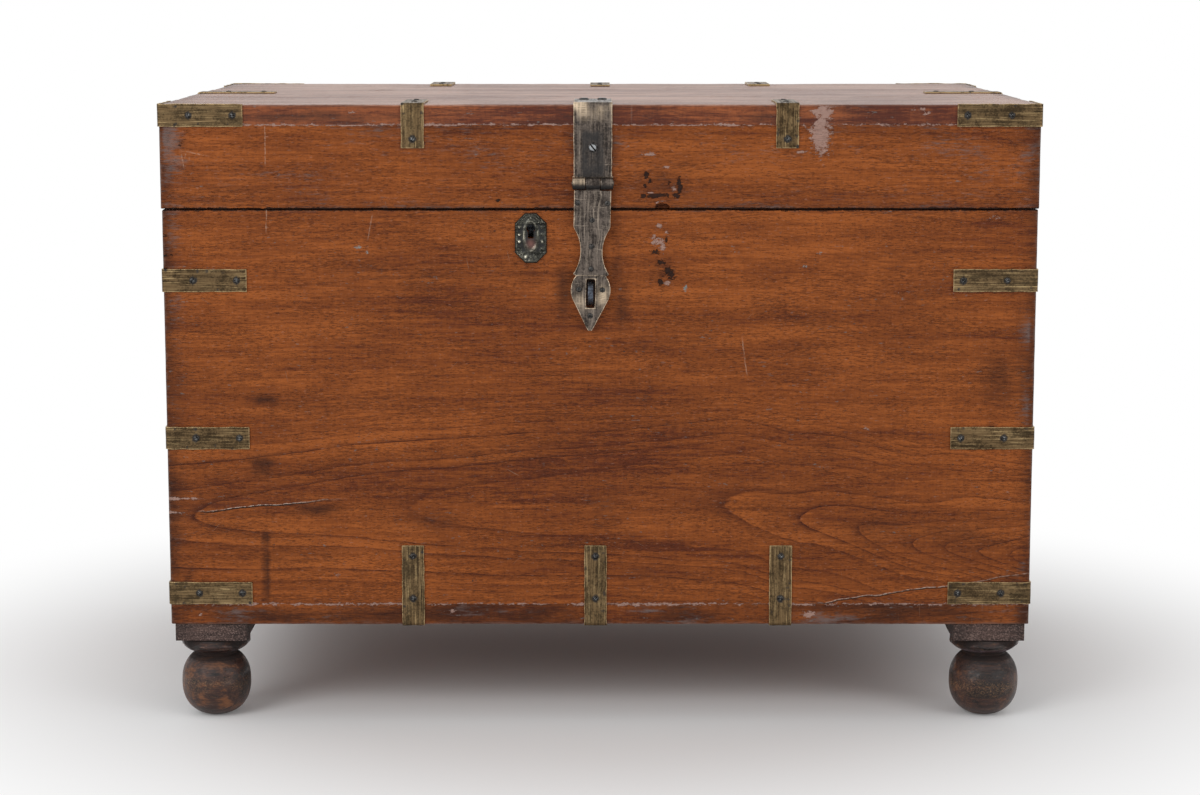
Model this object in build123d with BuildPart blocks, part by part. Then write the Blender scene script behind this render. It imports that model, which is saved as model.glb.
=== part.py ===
from build123d import *
import os
from math import cos, radians, sin

# A plank chest with a lifting lid, bound with brass strip, on four turned feet.
# Millimetres. The origin is on the floor under the middle of the chest: X to the right, Y to the
# back, Z up. The chest is shut, its hasp hangs over the staple and its lock is open.

# Chest
lid_width = 950.0
lid_depth = 628.0
lid_overhang = 1.0  # on each side, past the carcass
box_height = 459.0
rail_height = 90.5
rim_gap = 0.8
edge_round = 2.5

# Boards
wall = 21.0
bottom_thickness = 23.0
lid_board_thickness = 22.0
plank_names = ("front", "middle", "rear")  # in the bottom, and in the lid
tail_pitch = 62.0
tail_share = 0.5  # of the pitch, at the root of a dovetail
tail_slope = 1 / 6
tail_lap = 6.0  # wood left in front of a half-blind dovetail
socket_gap = 0.1

# Feet
block_side = 79.0
block_height = 20.0
block_inset = 3.5
block_chamfer = 1.5
foot_inset_x = 43.0
foot_inset_y = 43.0
ball_radius = 38.6
ball_flat = 0.6  # worn off its underside
neck_radius = 23.5
neck_length = 2.88
collar_radius = 38.8
collar_lip = 10.5
collar_taper = 9.0
collar_bulge = 2.0  # of the taper, off a straight cone
spigot_radius = 10.0
spigot_depth = 12.0  # into the bottom board
spigot_gap = 0.1

# Brass strip
strip_width = 25.0
strip_thickness = 1.8
bend_play = 0.5  # the strip's inner bend is this much tighter than the board's round edge
corner_leg = 90.5
top_strap_drop = 77.0  # from the rim to the middle of the highest corner strap
lid_strap_proud = 0.8
base_strap_rise = 89.0
base_strap_reach = 60.0
base_strap_places = (-206.0, -5.0, 199.0)
lid_strap_place = 202.0
lid_strap_drop = 47.0
lid_strap_reach = 90.0

# Strip screws, with their places measured along a leg from its outer corner
head_radius = 3.4
head_height = 1.5
head_dome = 0.7  # of the head's height that is rounded over
slot_width = 0.9
slot_depth = 0.6
shank_radius = 1.7
shank_length = 15.0
shank_gap = 0.1
bore_probes = (0.05, 0.3, 0.7)  # shares of a bore's depth that are looked for in a piece
corner_screws = (32.0, 79.5)
base_screws = (29.5, 77.0)
base_under_screws = (42.0,)
lid_drop_screws = (37.2,)
lid_reach_screws = (34.0, 76.0)

# Rear hinges
hinge_place = 202.0
hinge_width = 28.0
hinge_thickness = 2.5
hinge_knuckle = 9.3  # the body leaf's own, in the middle
hinge_ring = 5.5
hinge_pin_radius = 2.5
hinge_body_leg = 90.0
hinge_lid_reach = 85.0
hinge_body_screws = (34.0, 76.0)
hinge_rail_screws = (38.0, 84.0)

# Hasp
hasp_place = -7.7
hasp_drop = 84.5  # from the lid's top to the barrel
hasp_width = 42.0
hasp_thickness = 2.5
hasp_reach = 90.0
hasp_ring = 6.7
hasp_pin_radius = 2.6
hasp_barrel = 44.0
hasp_knuckle = 15.8  # the leaf's own, in the middle of the barrel
knuckle_gap = 0.2
pin_gap = 0.06
wood_gap = 0.3  # between a barrel and the board behind it
pin_overrun = 0.8
leaf_thickness = 2.5
leaf_lean = 1.2  # degrees
leaf_half = 20.0
leaf_shoulder = 47.0
leaf_bevel = (1.5, 3.5)  # under the shoulder
leaf_waist = (11.9, 74.0)  # half width, distance below the barrel
leaf_ear = (19.6, 98.4)
leaf_notch = (16.2, 100.2)
leaf_bulge = (21.4, 113.0)
leaf_flank = (18.3, 128.0)
leaf_tip = (2.0, 160.0)
slot_size = (10.2, 32.0)
slot_place = 119.2
rivet_places = (
    (-16.0, 21.0),
    (16.0, 21.0),
    (0.0, 39.5),
    (0.0, 68.0),
    (0.0, 92.5),
    (-12.7, 115.0),
    (12.7, 115.0),
    (0.0, 143.5),
)
rivet_radius = 1.9
rivet_head_radius = 2.9
rivet_head = 1.0
rivet_gap = 0.06
hasp_head_radius = 5.4
hasp_head_height = 2.2
hasp_shank_radius = 2.4
hasp_screw_rise = 38.4  # above the barrel
hasp_screw_spread = 10.0
hasp_screw_reach = 68.0

# Staple
staple_bar = 4.0
staple_width = 6.0
staple_height = 25.0
staple_straight = 6.5
staple_root = 15.0  # into the board
mortise_gap = 0.1

# Lock
keyhole_place = -74.9
keyhole_drop = 20.6  # below the rim
keyhole_radius = 4.6
keyway_width = 6.0
keyway_length = 10.5
escutcheon_width = 34.5
escutcheon_height = 54.0
escutcheon_corner = 11.0
escutcheon_thickness = 2.6
escutcheon_rim = 3.0
escutcheon_rim_height = 1.0
escutcheon_drop = 10.2  # of its centre below the keyhole
escutcheon_pin_inset = 5.5  # from its top and bottom edges
escutcheon_pin_radius = 1.0
pin_head_radius = 1.7
pin_head_height = 0.8
lock_width = 70.0
lock_height = 50.0
lock_depth = 19.0
lock_flange = 17.0  # past each side of the case
lock_flange_thickness = 2.5
lock_below_rim = 1.0
lock_screw_inset = 8.3  # from the flange's top and bottom edges
bolt_height = 6.0
bolt_thickness = 5.0
bolt_length = 34.0
bolt_travel = 8.0
bolt_centre = 9.5  # from the board's inner face
bolt_gap = 0.3
bolt_start = 1.0  # from the loop's side to the bolt's end, when open
loop_offset = -12.0  # from the keyhole
loop_thickness = 3.0
loop_bar = 3.0
loop_gap = 0.5
eye_gap = 0.4
eye_drop = 7.5  # below the rim
chamber_radius = 11.0
chamber_depth = 7.0
keeper_width = 60.0
keeper_height = 26.0
keeper_thickness = 2.5
keeper_rise = 1.5
keeper_arm = 8.7
keeper_screw_spread = 44.0

# Side handles
handle_rise = 290.0  # of the pivot, above the carcass's bottom
plate_length = 150.0
plate_height = 40.0
plate_thickness = 2.5
plate_corner = 8.0
plate_screw_spread = (134.0, 24.0)
rod_radius = 4.0
rod_stand_off = 9.0  # from the plate to the rod's centre
bail_span = 80.0
bail_drop = 52.0
bail_top_bend = 8.0
bail_grip_bend = 14.0
lug_gap = 1.0
lug_length = 12.0
lug_radius = 8.0
bail_pin_gap = 0.1

# Allowances for modelling
cut_margin = 1.0  # a cut starts this far outside the piece
same_level = 0.01

# Levels and faces
body_half = lid_width / 2 - lid_overhang
body_front = -(lid_depth / 2 - lid_overhang)
body_back = -body_front
lid_half = lid_width / 2
lid_front = -lid_depth / 2
lid_back = lid_depth / 2
ball_centre = ball_radius - ball_flat
flat_radius = (ball_radius**2 - ball_centre**2) ** 0.5
neck_bottom = ball_centre + (ball_radius**2 - neck_radius**2) ** 0.5
neck_top = neck_bottom + neck_length
lip_bottom = neck_top + collar_taper
collar_top = lip_bottom + collar_lip
box_bottom = collar_top + block_height
floor_level = box_bottom + bottom_thickness
rim = box_bottom + box_height
lid_bottom = rim + rim_gap
rail_top = lid_bottom + rail_height
lid_top = rail_top + lid_board_thickness
hinge_y = lid_back + wood_gap + hinge_ring
hinge_z = (rim + lid_bottom) / 2
hasp_y = lid_front - wood_gap - hasp_ring
hasp_z = lid_top - hasp_drop
keyhole_z = rim - keyhole_drop
left_and_right = (("left", -1), ("right", 1))
front_and_rear = (("front", -1), ("rear", 1))

os.makedirs("parts", exist_ok=True)


def save(piece, label):
    """Name a finished piece and write it to its own file."""
    piece.part.label = label
    export_step(piece.part, f"parts/{label}.step")


def slab(low, high, mode=Mode.ADD):
    """A rectangular block between two opposite corners."""
    size = Vector(*high) - Vector(*low)
    with Locations(Vector(*low)):
        Box(size.X, size.Y, size.Z, align=(Align.MIN, Align.MIN, Align.MIN), mode=mode)


def rod(start, end, radius, mode=Mode.ADD):
    """A round bar between two points."""
    line = Vector(*end) - Vector(*start)
    with Locations(Plane(origin=start, z_dir=line)):
        Cylinder(radius, line.length, align=(Align.CENTER, Align.CENTER, Align.MIN), mode=mode)


def round_show_edges(piece, *faces):
    """Round each straight edge where two of the given outer faces meet; a face is (axis, level)."""
    def lies_on(edge, face):
        return abs(getattr(edge.center(), face[0]) - face[1]) < same_level

    shown = [edge for edge in piece.edges() if sum(lies_on(edge, face) for face in faces) > 1]
    fillet(shown, edge_round)


def tails(x_low, x_high, root, tip, low, high, grow=0.0, mode=Mode.ADD):
    """A row of dovetails seen along X, from their roots to their tips along Y."""
    count = max(1, round((high - low) / tail_pitch))
    pitch = (high - low) / count
    outward = 1 if tip > root else -1
    root_half = pitch * tail_share / 2 + grow
    tip_half = root_half + abs(tip - root) * tail_slope
    end = tip + outward * grow
    with BuildSketch(Plane.YZ.offset(x_low)) as section:
        for step in range(count):
            middle = low + pitch * (step + 0.5)
            with BuildLine():
                Polyline(
                    (root, middle - root_half),
                    (end, middle - tip_half),
                    (end, middle + tip_half),
                    (root, middle + root_half),
                    close=True,
                )
            make_face()
    extrude(section.sketch, amount=x_high - x_low, mode=mode)


def end_sockets(half, face, bottom, top, outward):
    """Cut both ends of a front or back board for the tails of the boards at its sides."""
    root = face - outward * wall
    tip = face - outward * tail_lap
    for side_low in (-half, half - wall):
        tails(side_low, side_low + wall, root, tip, bottom, top, socket_gap, Mode.SUBTRACT)


def folding_plane(corner, along_a, along_b):
    """The plane across a board's edge, with its X and Y into the wood along the two faces."""
    return Plane(origin=corner, x_dir=along_a, z_dir=Vector(*along_a).cross(Vector(*along_b)))


def folded_strip(fold, leg_a, leg_b, width, thickness):
    """Strip folded round a board's edge, its legs on the two faces that meet there."""
    bend = edge_round - bend_play
    with BuildSketch(fold) as section:
        with BuildLine():
            Polyline(
                (leg_a, 0),
                (0, 0),
                (0, leg_b),
                (-thickness, leg_b),
                (-thickness, -thickness),
                (leg_a, -thickness),
                close=True,
            )
        make_face()
        fillet(section.vertices().sort_by_distance((0, 0))[0], bend)
        fillet(section.vertices().sort_by_distance((-thickness, -thickness))[0], bend + thickness)
    extrude(section.sketch, amount=width / 2, both=True)


def strip_sites(fold, thickness, on_a=(), on_b=()):
    """Screw places on a folded strip: planes on its outer face that look outwards."""
    along_a = [
        Plane(origin=fold.from_local_coords((place, -thickness, 0)), z_dir=-fold.y_dir)
        for place in on_a
    ]
    along_b = [
        Plane(origin=fold.from_local_coords((-thickness, place, 0)), z_dir=-fold.x_dir)
        for place in on_b
    ]
    return along_a + along_b


def holds(box, point):
    """Whether a bounding box holds a point."""
    return all(low <= value <= high for low, value, high in zip(box.min, point, box.max))


def bore_sites(piece, sites, radius=shank_radius + shank_gap, depth=shank_length + shank_gap):
    """Bore the screw places whose shank runs through this piece."""
    box = piece.part.bounding_box()

    def runs_through(site):
        return any(holds(box, site.origin - site.z_dir * share * depth) for share in bore_probes)

    through = [site.location for site in sites if runs_through(site)]
    if through:
        with Locations(*through):
            Hole(radius, depth)


def slotted_screw(radius, height, shank):
    """A slotted screw with a domed head, pointing down, its origin on the face under the head."""
    with BuildPart() as made:
        Cylinder(radius, height, align=(Align.CENTER, Align.CENTER, Align.MIN))
        fillet(made.edges().group_by(Axis.Z)[-1], height * head_dome)
        with Locations((0, 0, height)):
            Box(2 * radius, slot_width, 2 * slot_depth, mode=Mode.SUBTRACT)
        Cylinder(shank, shank_length, align=(Align.CENTER, Align.CENTER, Align.MAX))
    return made


# Places of the strips and their screws

corner_heights = (
    bottom_thickness + strip_width / 2,
    (bottom_thickness + strip_width / 2 + box_height - top_strap_drop) / 2,
    box_height - top_strap_drop,
)
corner_folds = {}
lid_corner_folds = {}
for end, y_sign in front_and_rear:
    for side, x_sign in left_and_right:
        inward = ((-x_sign, 0, 0), (0, -y_sign, 0))
        corner_folds[f"{end}_{side}"] = [
            folding_plane((x_sign * body_half, y_sign * body_back, box_bottom + height), *inward)
            for height in corner_heights
        ]
        lid_strap_z = lid_top + lid_strap_proud - strip_width / 2
        lid_corner_folds[f"{end}_{side}"] = folding_plane(
            (x_sign * lid_half, y_sign * lid_back, lid_strap_z), *inward
        )

base_folds = {
    end: [
        folding_plane((place, y_sign * body_back, box_bottom), (0, 0, 1), (0, -y_sign, 0))
        for place in base_strap_places
    ]
    for end, y_sign in front_and_rear
}

down = (0, 0, -1)
lid_folds = {
    "lid_front_strap_left": folding_plane((-lid_strap_place, lid_front, lid_top), down, (0, 1, 0)),
    "lid_front_strap_right": folding_plane((lid_strap_place, lid_front, lid_top), down, (0, 1, 0)),
    "lid_side_strap_left": folding_plane((-lid_half, 0, lid_top), down, (1, 0, 0)),
    "lid_side_strap_right": folding_plane((lid_half, 0, lid_top), down, (-1, 0, 0)),
    "lid_rear_strap": folding_plane((0, lid_back, lid_top), down, (0, -1, 0)),
}
hinge_folds = {
    side: folding_plane((x_sign * hinge_place, lid_back, lid_top), down, (0, -1, 0))
    for side, x_sign in left_and_right
}
hasp_fold = folding_plane((hasp_place, lid_front, lid_top), down, (0, 1, 0))

body_sites = []
for folds in corner_folds.values():
    for fold in folds:
        body_sites += strip_sites(fold, strip_thickness, corner_screws, corner_screws)
for folds in base_folds.values():
    for fold in folds:
        body_sites += strip_sites(fold, strip_thickness, base_screws, base_under_screws)
for side, x_sign in left_and_right:
    for place in hinge_body_screws:
        level = (x_sign * hinge_place, body_back + hinge_thickness, hinge_z - place)
        body_sites.append(Plane(origin=level, z_dir=(0, 1, 0)))

lid_sites = []
for fold in lid_corner_folds.values():
    lid_sites += strip_sites(fold, strip_thickness, corner_screws, corner_screws)
for fold in lid_folds.values():
    lid_sites += strip_sites(fold, strip_thickness, lid_drop_screws, lid_reach_screws)
for fold in hinge_folds.values():
    rail_screws = [lid_top - hinge_z - place for place in hinge_rail_screws]
    lid_sites += strip_sites(fold, hinge_thickness, rail_screws, lid_reach_screws)

inner_face = body_front + wall
lock_middle = rim - lock_below_rim - lock_height / 2
for x_offset in (-(lock_width + lock_flange) / 2, (lock_width + lock_flange) / 2):
    for z_offset in (lock_screw_inset - lock_height / 2, lock_height / 2 - lock_screw_inset):
        place = (keyhole_place + x_offset, inner_face + lock_flange_thickness, lock_middle + z_offset)
        body_sites.append(Plane(origin=place, z_dir=(0, 1, 0)))

loop_x = keyhole_place + loop_offset
lid_inner_face = lid_front + wall
keeper_bottom = lid_bottom + keeper_rise
for x_offset in (-keeper_screw_spread / 2, keeper_screw_spread / 2):
    place = (loop_x + x_offset, lid_inner_face + keeper_thickness, keeper_bottom + keeper_height / 2)
    lid_sites.append(Plane(origin=place, z_dir=(0, 1, 0)))

handle_z = box_bottom + handle_rise
for side, x_sign in left_and_right:
    for y_offset in (-plate_screw_spread[0] / 2, plate_screw_spread[0] / 2):
        for z_offset in (-plate_screw_spread[1] / 2, plate_screw_spread[1] / 2):
            place = (x_sign * (body_half + plate_thickness), y_offset, handle_z + z_offset)
            body_sites.append(Plane(origin=place, z_dir=(x_sign, 0, 0)))

hasp_front_site = Plane(
    origin=(hasp_place, lid_front - hasp_thickness, hasp_z + hasp_screw_rise), z_dir=(0, -1, 0)
)
hasp_sites = [hasp_front_site] + [
    Plane(origin=(hasp_place + x_offset, lid_front + hasp_screw_reach, lid_top + hasp_thickness))
    for x_offset in (-hasp_screw_spread, hasp_screw_spread)
]

lean = radians(leaf_lean)
leaf_plane = Plane(
    origin=(hasp_place, hasp_y, hasp_z), x_dir=(cos(lean), 0, -sin(lean)), z_dir=(0, -1, 0)
)
staple_place = leaf_plane.from_local_coords((0, -slot_place, 0))
keyhole_plane = Plane(origin=(keyhole_place, body_front, keyhole_z), x_dir=(1, 0, 0), z_dir=(0, -1, 0))
escutcheon_plane = Plane(
    origin=(keyhole_place, body_front, keyhole_z - escutcheon_drop), x_dir=(1, 0, 0), z_dir=(0, -1, 0)
)
escutcheon_pin_rise = escutcheon_height / 2 - escutcheon_pin_inset
escutcheon_pin_sites = [
    Plane(
        origin=escutcheon_plane.from_local_coords((0, height, escutcheon_thickness)),
        z_dir=(0, -1, 0),
    )
    for height in (-escutcheon_pin_rise, escutcheon_pin_rise)
]


def bore_hasp_sites(piece):
    """Bore for the hasp's three larger screws."""
    bore_sites(piece, hasp_sites, hasp_shank_radius + shank_gap)


def keyhole_section():
    """A round hole over a straight keyway."""
    Circle(keyhole_radius)
    with Locations((0, -keyway_length / 2)):
        Rectangle(keyway_width, keyway_length)


# Carcass boards

with BuildPart() as front_board:
    slab((-body_half, body_front, floor_level), (body_half, body_front + wall, rim))
    round_show_edges(
        front_board, ("Y", body_front), ("Z", rim), ("X", -body_half), ("X", body_half)
    )
    end_sockets(body_half, body_front, floor_level, rim, -1)
    bore_sites(front_board, body_sites)
    with BuildSketch(keyhole_plane):
        keyhole_section()
    extrude(amount=-wall, mode=Mode.SUBTRACT)
    for z_sign in (-1, 1):
        leg_z = staple_place.Z + z_sign * (staple_height - staple_bar) / 2
        half_x = staple_width / 2 + mortise_gap
        half_z = staple_bar / 2 + mortise_gap
        slab(
            (staple_place.X - half_x, body_front - cut_margin, leg_z - half_z),
            (staple_place.X + half_x, body_front + staple_root + mortise_gap, leg_z + half_z),
            Mode.SUBTRACT,
        )
    pin_bore = escutcheon_pin_radius + shank_gap
    bore_sites(front_board, escutcheon_pin_sites, pin_bore)
save(front_board, "front_board")

with BuildPart() as back_board:
    slab((-body_half, body_back - wall, floor_level), (body_half, body_back, rim))
    round_show_edges(
        back_board, ("Y", body_back), ("Z", rim), ("X", -body_half), ("X", body_half)
    )
    end_sockets(body_half, body_back, floor_level, rim, 1)
    bore_sites(back_board, body_sites)
save(back_board, "back_board")

for side, x_sign in left_and_right:
    outer = x_sign * body_half
    low_x, high_x = sorted((outer, outer - x_sign * wall))
    with BuildPart() as side_board:
        slab((low_x, body_front + wall, floor_level), (high_x, body_back - wall, rim))
        round_show_edges(side_board, ("X", outer), ("Z", rim))
        tails(low_x, high_x, body_front + wall, body_front + tail_lap, floor_level, rim)
        tails(low_x, high_x, body_back - wall, body_back - tail_lap, floor_level, rim)
        bore_sites(side_board, body_sites)
    save(side_board, f"{side}_side_board")

foot_centres = {
    f"{end}_{side}": (x_sign * (body_half - foot_inset_x), y_sign * (body_back - foot_inset_y))
    for end, y_sign in front_and_rear
    for side, x_sign in left_and_right
}
plank_width = (body_back - body_front) / len(plank_names)
for index, name in enumerate(plank_names):
    low_y = body_front + index * plank_width
    with BuildPart() as plank:
        slab((-body_half, low_y, box_bottom), (body_half, low_y + plank_width, floor_level))
        round_show_edges(
            plank,
            ("Y", body_front),
            ("Y", body_back),
            ("Z", box_bottom),
            ("X", -body_half),
            ("X", body_half),
        )
        for centre in foot_centres.values():
            if low_y < centre[1] < low_y + plank_width:
                rod(
                    (*centre, box_bottom),
                    (*centre, box_bottom + spigot_depth + spigot_gap),
                    spigot_radius + spigot_gap,
                    Mode.SUBTRACT,
                )
        bore_sites(plank, body_sites)
    save(plank, f"bottom_board_{name}")

# Lid boards

for name, face, outward in (("front", lid_front, -1), ("back", lid_back, 1)):
    low_y, high_y = sorted((face, face - outward * wall))
    with BuildPart() as rail:
        slab((-lid_half, low_y, lid_bottom), (lid_half, high_y, rail_top))
        round_show_edges(
            rail, ("Y", face), ("Z", lid_bottom), ("X", -lid_half), ("X", lid_half)
        )
        end_sockets(lid_half, face, lid_bottom, rail_top, outward)
        bore_sites(rail, lid_sites)
        bore_hasp_sites(rail)
    save(rail, f"lid_{name}_rail")

for side, x_sign in left_and_right:
    outer = x_sign * lid_half
    low_x, high_x = sorted((outer, outer - x_sign * wall))
    with BuildPart() as rail:
        slab((low_x, lid_front + wall, lid_bottom), (high_x, lid_back - wall, rail_top))
        round_show_edges(rail, ("X", outer), ("Z", lid_bottom))
        tails(low_x, high_x, lid_front + wall, lid_front + tail_lap, lid_bottom, rail_top)
        tails(low_x, high_x, lid_back - wall, lid_back - tail_lap, lid_bottom, rail_top)
        bore_sites(rail, lid_sites)
    save(rail, f"lid_{side}_rail")

lid_plank_width = lid_depth / len(plank_names)
for index, name in enumerate(plank_names):
    low_y = lid_front + index * lid_plank_width
    with BuildPart() as plank:
        slab((-lid_half, low_y, rail_top), (lid_half, low_y + lid_plank_width, lid_top))
        round_show_edges(
            plank,
            ("Y", lid_front),
            ("Y", lid_back),
            ("Z", lid_top),
            ("X", -lid_half),
            ("X", lid_half),
        )
        bore_sites(plank, lid_sites)
        bore_hasp_sites(plank)
    save(plank, f"lid_board_{name}")

# Feet

for corner, centre in foot_centres.items():
    x_sign = 1 if centre[0] > 0 else -1
    y_sign = 1 if centre[1] > 0 else -1
    outer_x = x_sign * (body_half - block_inset)
    outer_y = y_sign * (body_back - block_inset)
    low_x, high_x = sorted((outer_x, outer_x - x_sign * block_side))
    low_y, high_y = sorted((outer_y, outer_y - y_sign * block_side))
    with BuildPart() as block:
        slab((low_x, low_y, collar_top), (high_x, high_y, box_bottom))
        chamfer(block.edges().filter_by(Axis.Z), block_chamfer)
        rod((*centre, collar_top), (*centre, box_bottom), spigot_radius + spigot_gap, Mode.SUBTRACT)
    save(block, f"foot_block_{corner}")

for corner, centre in foot_centres.items():
    with BuildPart() as foot:
        with BuildSketch(Plane(origin=(*centre, 0), x_dir=(1, 0, 0), z_dir=(0, -1, 0))):
            with BuildLine():
                Polyline(
                    (flat_radius, 0),
                    (0, 0),
                    (0, box_bottom + spigot_depth),
                    (spigot_radius, box_bottom + spigot_depth),
                    (spigot_radius, collar_top),
                    (collar_radius, collar_top),
                    (collar_radius, lip_bottom),
                )
                SagittaArc((collar_radius, lip_bottom), (neck_radius, neck_top), -collar_bulge)
                Line((neck_radius, neck_top), (neck_radius, neck_bottom))
                ThreePointArc(
                    (neck_radius, neck_bottom), (ball_radius, ball_centre), (flat_radius, 0)
                )
            make_face()
        revolve(axis=Axis((*centre, 0), (0, 0, 1)))
    save(foot, f"ball_foot_{corner}")

# Brass strip on the carcass

for corner, folds in corner_folds.items():
    with BuildPart() as straps:
        for fold in folds:
            folded_strip(fold, corner_leg, corner_leg, strip_width, strip_thickness)
        bore_sites(straps, body_sites)
    save(straps, f"corner_straps_{corner}")

for end, folds in base_folds.items():
    with BuildPart() as straps:
        for fold in folds:
            folded_strip(fold, base_strap_rise, base_strap_reach, strip_width, strip_thickness)
        bore_sites(straps, body_sites)
    save(straps, f"base_straps_{end}")

# Brass strip on the lid

for corner, fold in lid_corner_folds.items():
    with BuildPart() as strap:
        folded_strip(fold, corner_leg, corner_leg, strip_width, strip_thickness)
        bore_sites(strap, lid_sites)
    save(strap, f"lid_corner_strap_{corner}")

for label, fold in lid_folds.items():
    with BuildPart() as strap:
        folded_strip(fold, lid_strap_drop, lid_strap_reach, strip_width, strip_thickness)
        bore_sites(strap, lid_sites)
    save(strap, label)


# Hinges: knuckles rolled round a pin along X

def knuckle_spans(middle, length, own_middle):
    """The three knuckles' spans along X: the middle one, then the outer two."""
    half = own_middle / 2
    reach = length / 2
    return (
        (middle - half, middle + half),
        (middle - reach, middle - half - knuckle_gap),
        (middle + half + knuckle_gap, middle + reach),
    )


def roll_knuckles(own, other, y, z, ring, pin):
    """Clear the partner's knuckles from the open leaf, roll its own and bore them for the pin."""
    for start, end in other:
        sweep_radius = ring + wood_gap
        rod((start - knuckle_gap, y, z), (end + knuckle_gap, y, z), sweep_radius, Mode.SUBTRACT)
    for start, end in own:
        rod((start, y, z), (end, y, z), ring)
    for start, end in own:
        rod((start - cut_margin, y, z), (end + cut_margin, y, z), pin + pin_gap, Mode.SUBTRACT)


for side, x_sign in left_and_right:
    middle = x_sign * hinge_place
    body_knuckle, *lid_knuckles = knuckle_spans(middle, hinge_width, hinge_knuckle)
    with BuildPart() as leaf:
        folded_strip(hinge_folds[side], lid_top - hinge_z, hinge_lid_reach, hinge_width, hinge_thickness)
        roll_knuckles(lid_knuckles, [body_knuckle], hinge_y, hinge_z, hinge_ring, hinge_pin_radius)
        bore_sites(leaf, lid_sites)
    save(leaf, f"hinge_{side}_lid_leaf")

    with BuildPart() as leaf:
        slab(
            (middle - hinge_width / 2, body_back, hinge_z - hinge_body_leg),
            (middle + hinge_width / 2, body_back + hinge_thickness, hinge_z),
        )
        roll_knuckles([body_knuckle], lid_knuckles, hinge_y, hinge_z, hinge_ring, hinge_pin_radius)
        bore_sites(leaf, body_sites)
    save(leaf, f"hinge_{side}_body_leaf")

with BuildPart() as hinge_pins:
    for side, x_sign in left_and_right:
        reach = hinge_width / 2 + pin_overrun
        middle = x_sign * hinge_place
        rod((middle - reach, hinge_y, hinge_z), (middle + reach, hinge_y, hinge_z), hinge_pin_radius)
save(hinge_pins, "hinge_pins")

# Hasp

leaf_knuckle, *plate_knuckles = knuckle_spans(hasp_place, hasp_barrel, hasp_knuckle)

with BuildPart() as hasp_plate:
    folded_strip(hasp_fold, hasp_drop, hasp_reach, hasp_width, hasp_thickness)
    roll_knuckles(plate_knuckles, [leaf_knuckle], hasp_y, hasp_z, hasp_ring, hasp_pin_radius)
    bore_hasp_sites(hasp_plate)
save(hasp_plate, "hasp_plate")

with BuildPart() as hasp_pin:
    reach = hasp_barrel / 2 + pin_overrun
    rod((hasp_place - reach, hasp_y, hasp_z), (hasp_place + reach, hasp_y, hasp_z), hasp_pin_radius)
save(hasp_pin, "hasp_pin")


def below(place):
    """A point of the leaf's right half, given as half width and distance below the barrel."""
    return (place[0], -place[1])


shoulder_step = (leaf_half - leaf_bevel[0], leaf_shoulder + leaf_bevel[1])
with BuildPart() as hasp_leaf:
    with BuildSketch(leaf_plane):
        with BuildLine():
            Polyline((0, 0), (leaf_half, 0), (leaf_half, -leaf_shoulder), below(shoulder_step))
            ThreePointArc(below(shoulder_step), below(leaf_waist), below(leaf_ear))
            Line(below(leaf_ear), below(leaf_notch))
            ThreePointArc(below(leaf_notch), below(leaf_bulge), below(leaf_flank))
            Polyline(below(leaf_flank), below(leaf_tip), (0, -leaf_tip[1]), (0, 0))
        make_face()
        mirror(about=Plane.YZ)
        with Locations((0, -slot_place)):
            Rectangle(*slot_size, mode=Mode.SUBTRACT)
        with Locations(*[below(place) for place in rivet_places]):
            Circle(rivet_radius + rivet_gap, mode=Mode.SUBTRACT)
    extrude(amount=leaf_thickness / 2, both=True)
    roll_knuckles([leaf_knuckle], plate_knuckles, hasp_y, hasp_z, hasp_ring, hasp_pin_radius)
save(hasp_leaf, "hasp_leaf")

with BuildPart() as hasp_rivets:
    for place in rivet_places:
        for face in (-leaf_thickness / 2 - rivet_head, leaf_thickness / 2):
            with BuildSketch(leaf_plane.offset(face)):
                with Locations(below(place)):
                    Circle(rivet_head_radius)
            extrude(amount=rivet_head)
        with BuildSketch(leaf_plane.offset(-leaf_thickness / 2)):
            with Locations(below(place)):
                Circle(rivet_radius)
        extrude(amount=leaf_thickness)
save(hasp_rivets, "hasp_rivets")

with BuildPart() as staple:
    with BuildSketch(Plane.YZ.offset(staple_place.X)):
        loop_centre = (body_front - staple_straight, staple_place.Z)
        leg = staple_root + staple_straight
        inner_height = staple_height - 2 * staple_bar
        for height, mode in ((staple_height, Mode.ADD), (inner_height, Mode.SUBTRACT)):
            with Locations(loop_centre):
                Circle(height / 2, mode=mode)
                Rectangle(leg, height, align=(Align.MIN, Align.CENTER), mode=mode)
    extrude(amount=staple_width / 2, both=True)
save(staple, "staple")

# Lock

with BuildPart() as escutcheon:
    with BuildSketch(escutcheon_plane) as outline:
        Rectangle(escutcheon_width, escutcheon_height)
        chamfer(outline.vertices(), escutcheon_corner)
    extrude(amount=escutcheon_thickness)
    with BuildSketch(escutcheon_plane.offset(escutcheon_thickness)) as border:
        Rectangle(escutcheon_width, escutcheon_height)
        chamfer(border.vertices(), escutcheon_corner)
        offset(amount=-escutcheon_rim, mode=Mode.SUBTRACT)
    extrude(amount=escutcheon_rim_height)
    with BuildSketch(keyhole_plane):
        keyhole_section()
    extrude(amount=escutcheon_thickness, mode=Mode.SUBTRACT)
    bore_sites(escutcheon, escutcheon_pin_sites, pin_bore)
save(escutcheon, "escutcheon")

bolt_y = inner_face + bolt_centre
eye_z = rim - eye_drop
eye_half_y = bolt_thickness / 2 + eye_gap
eye_half_z = bolt_height / 2 + eye_gap
loop_half_y = eye_half_y + loop_bar
loop_half_x = loop_thickness / 2
loop_bottom = eye_z - eye_half_z - loop_bar
bolt_left = loop_x + loop_half_x + bolt_start
lock_top = rim - lock_below_rim
channel_gap = (bolt_gap, bolt_thickness / 2 + bolt_gap, bolt_height / 2 + bolt_gap)

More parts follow.
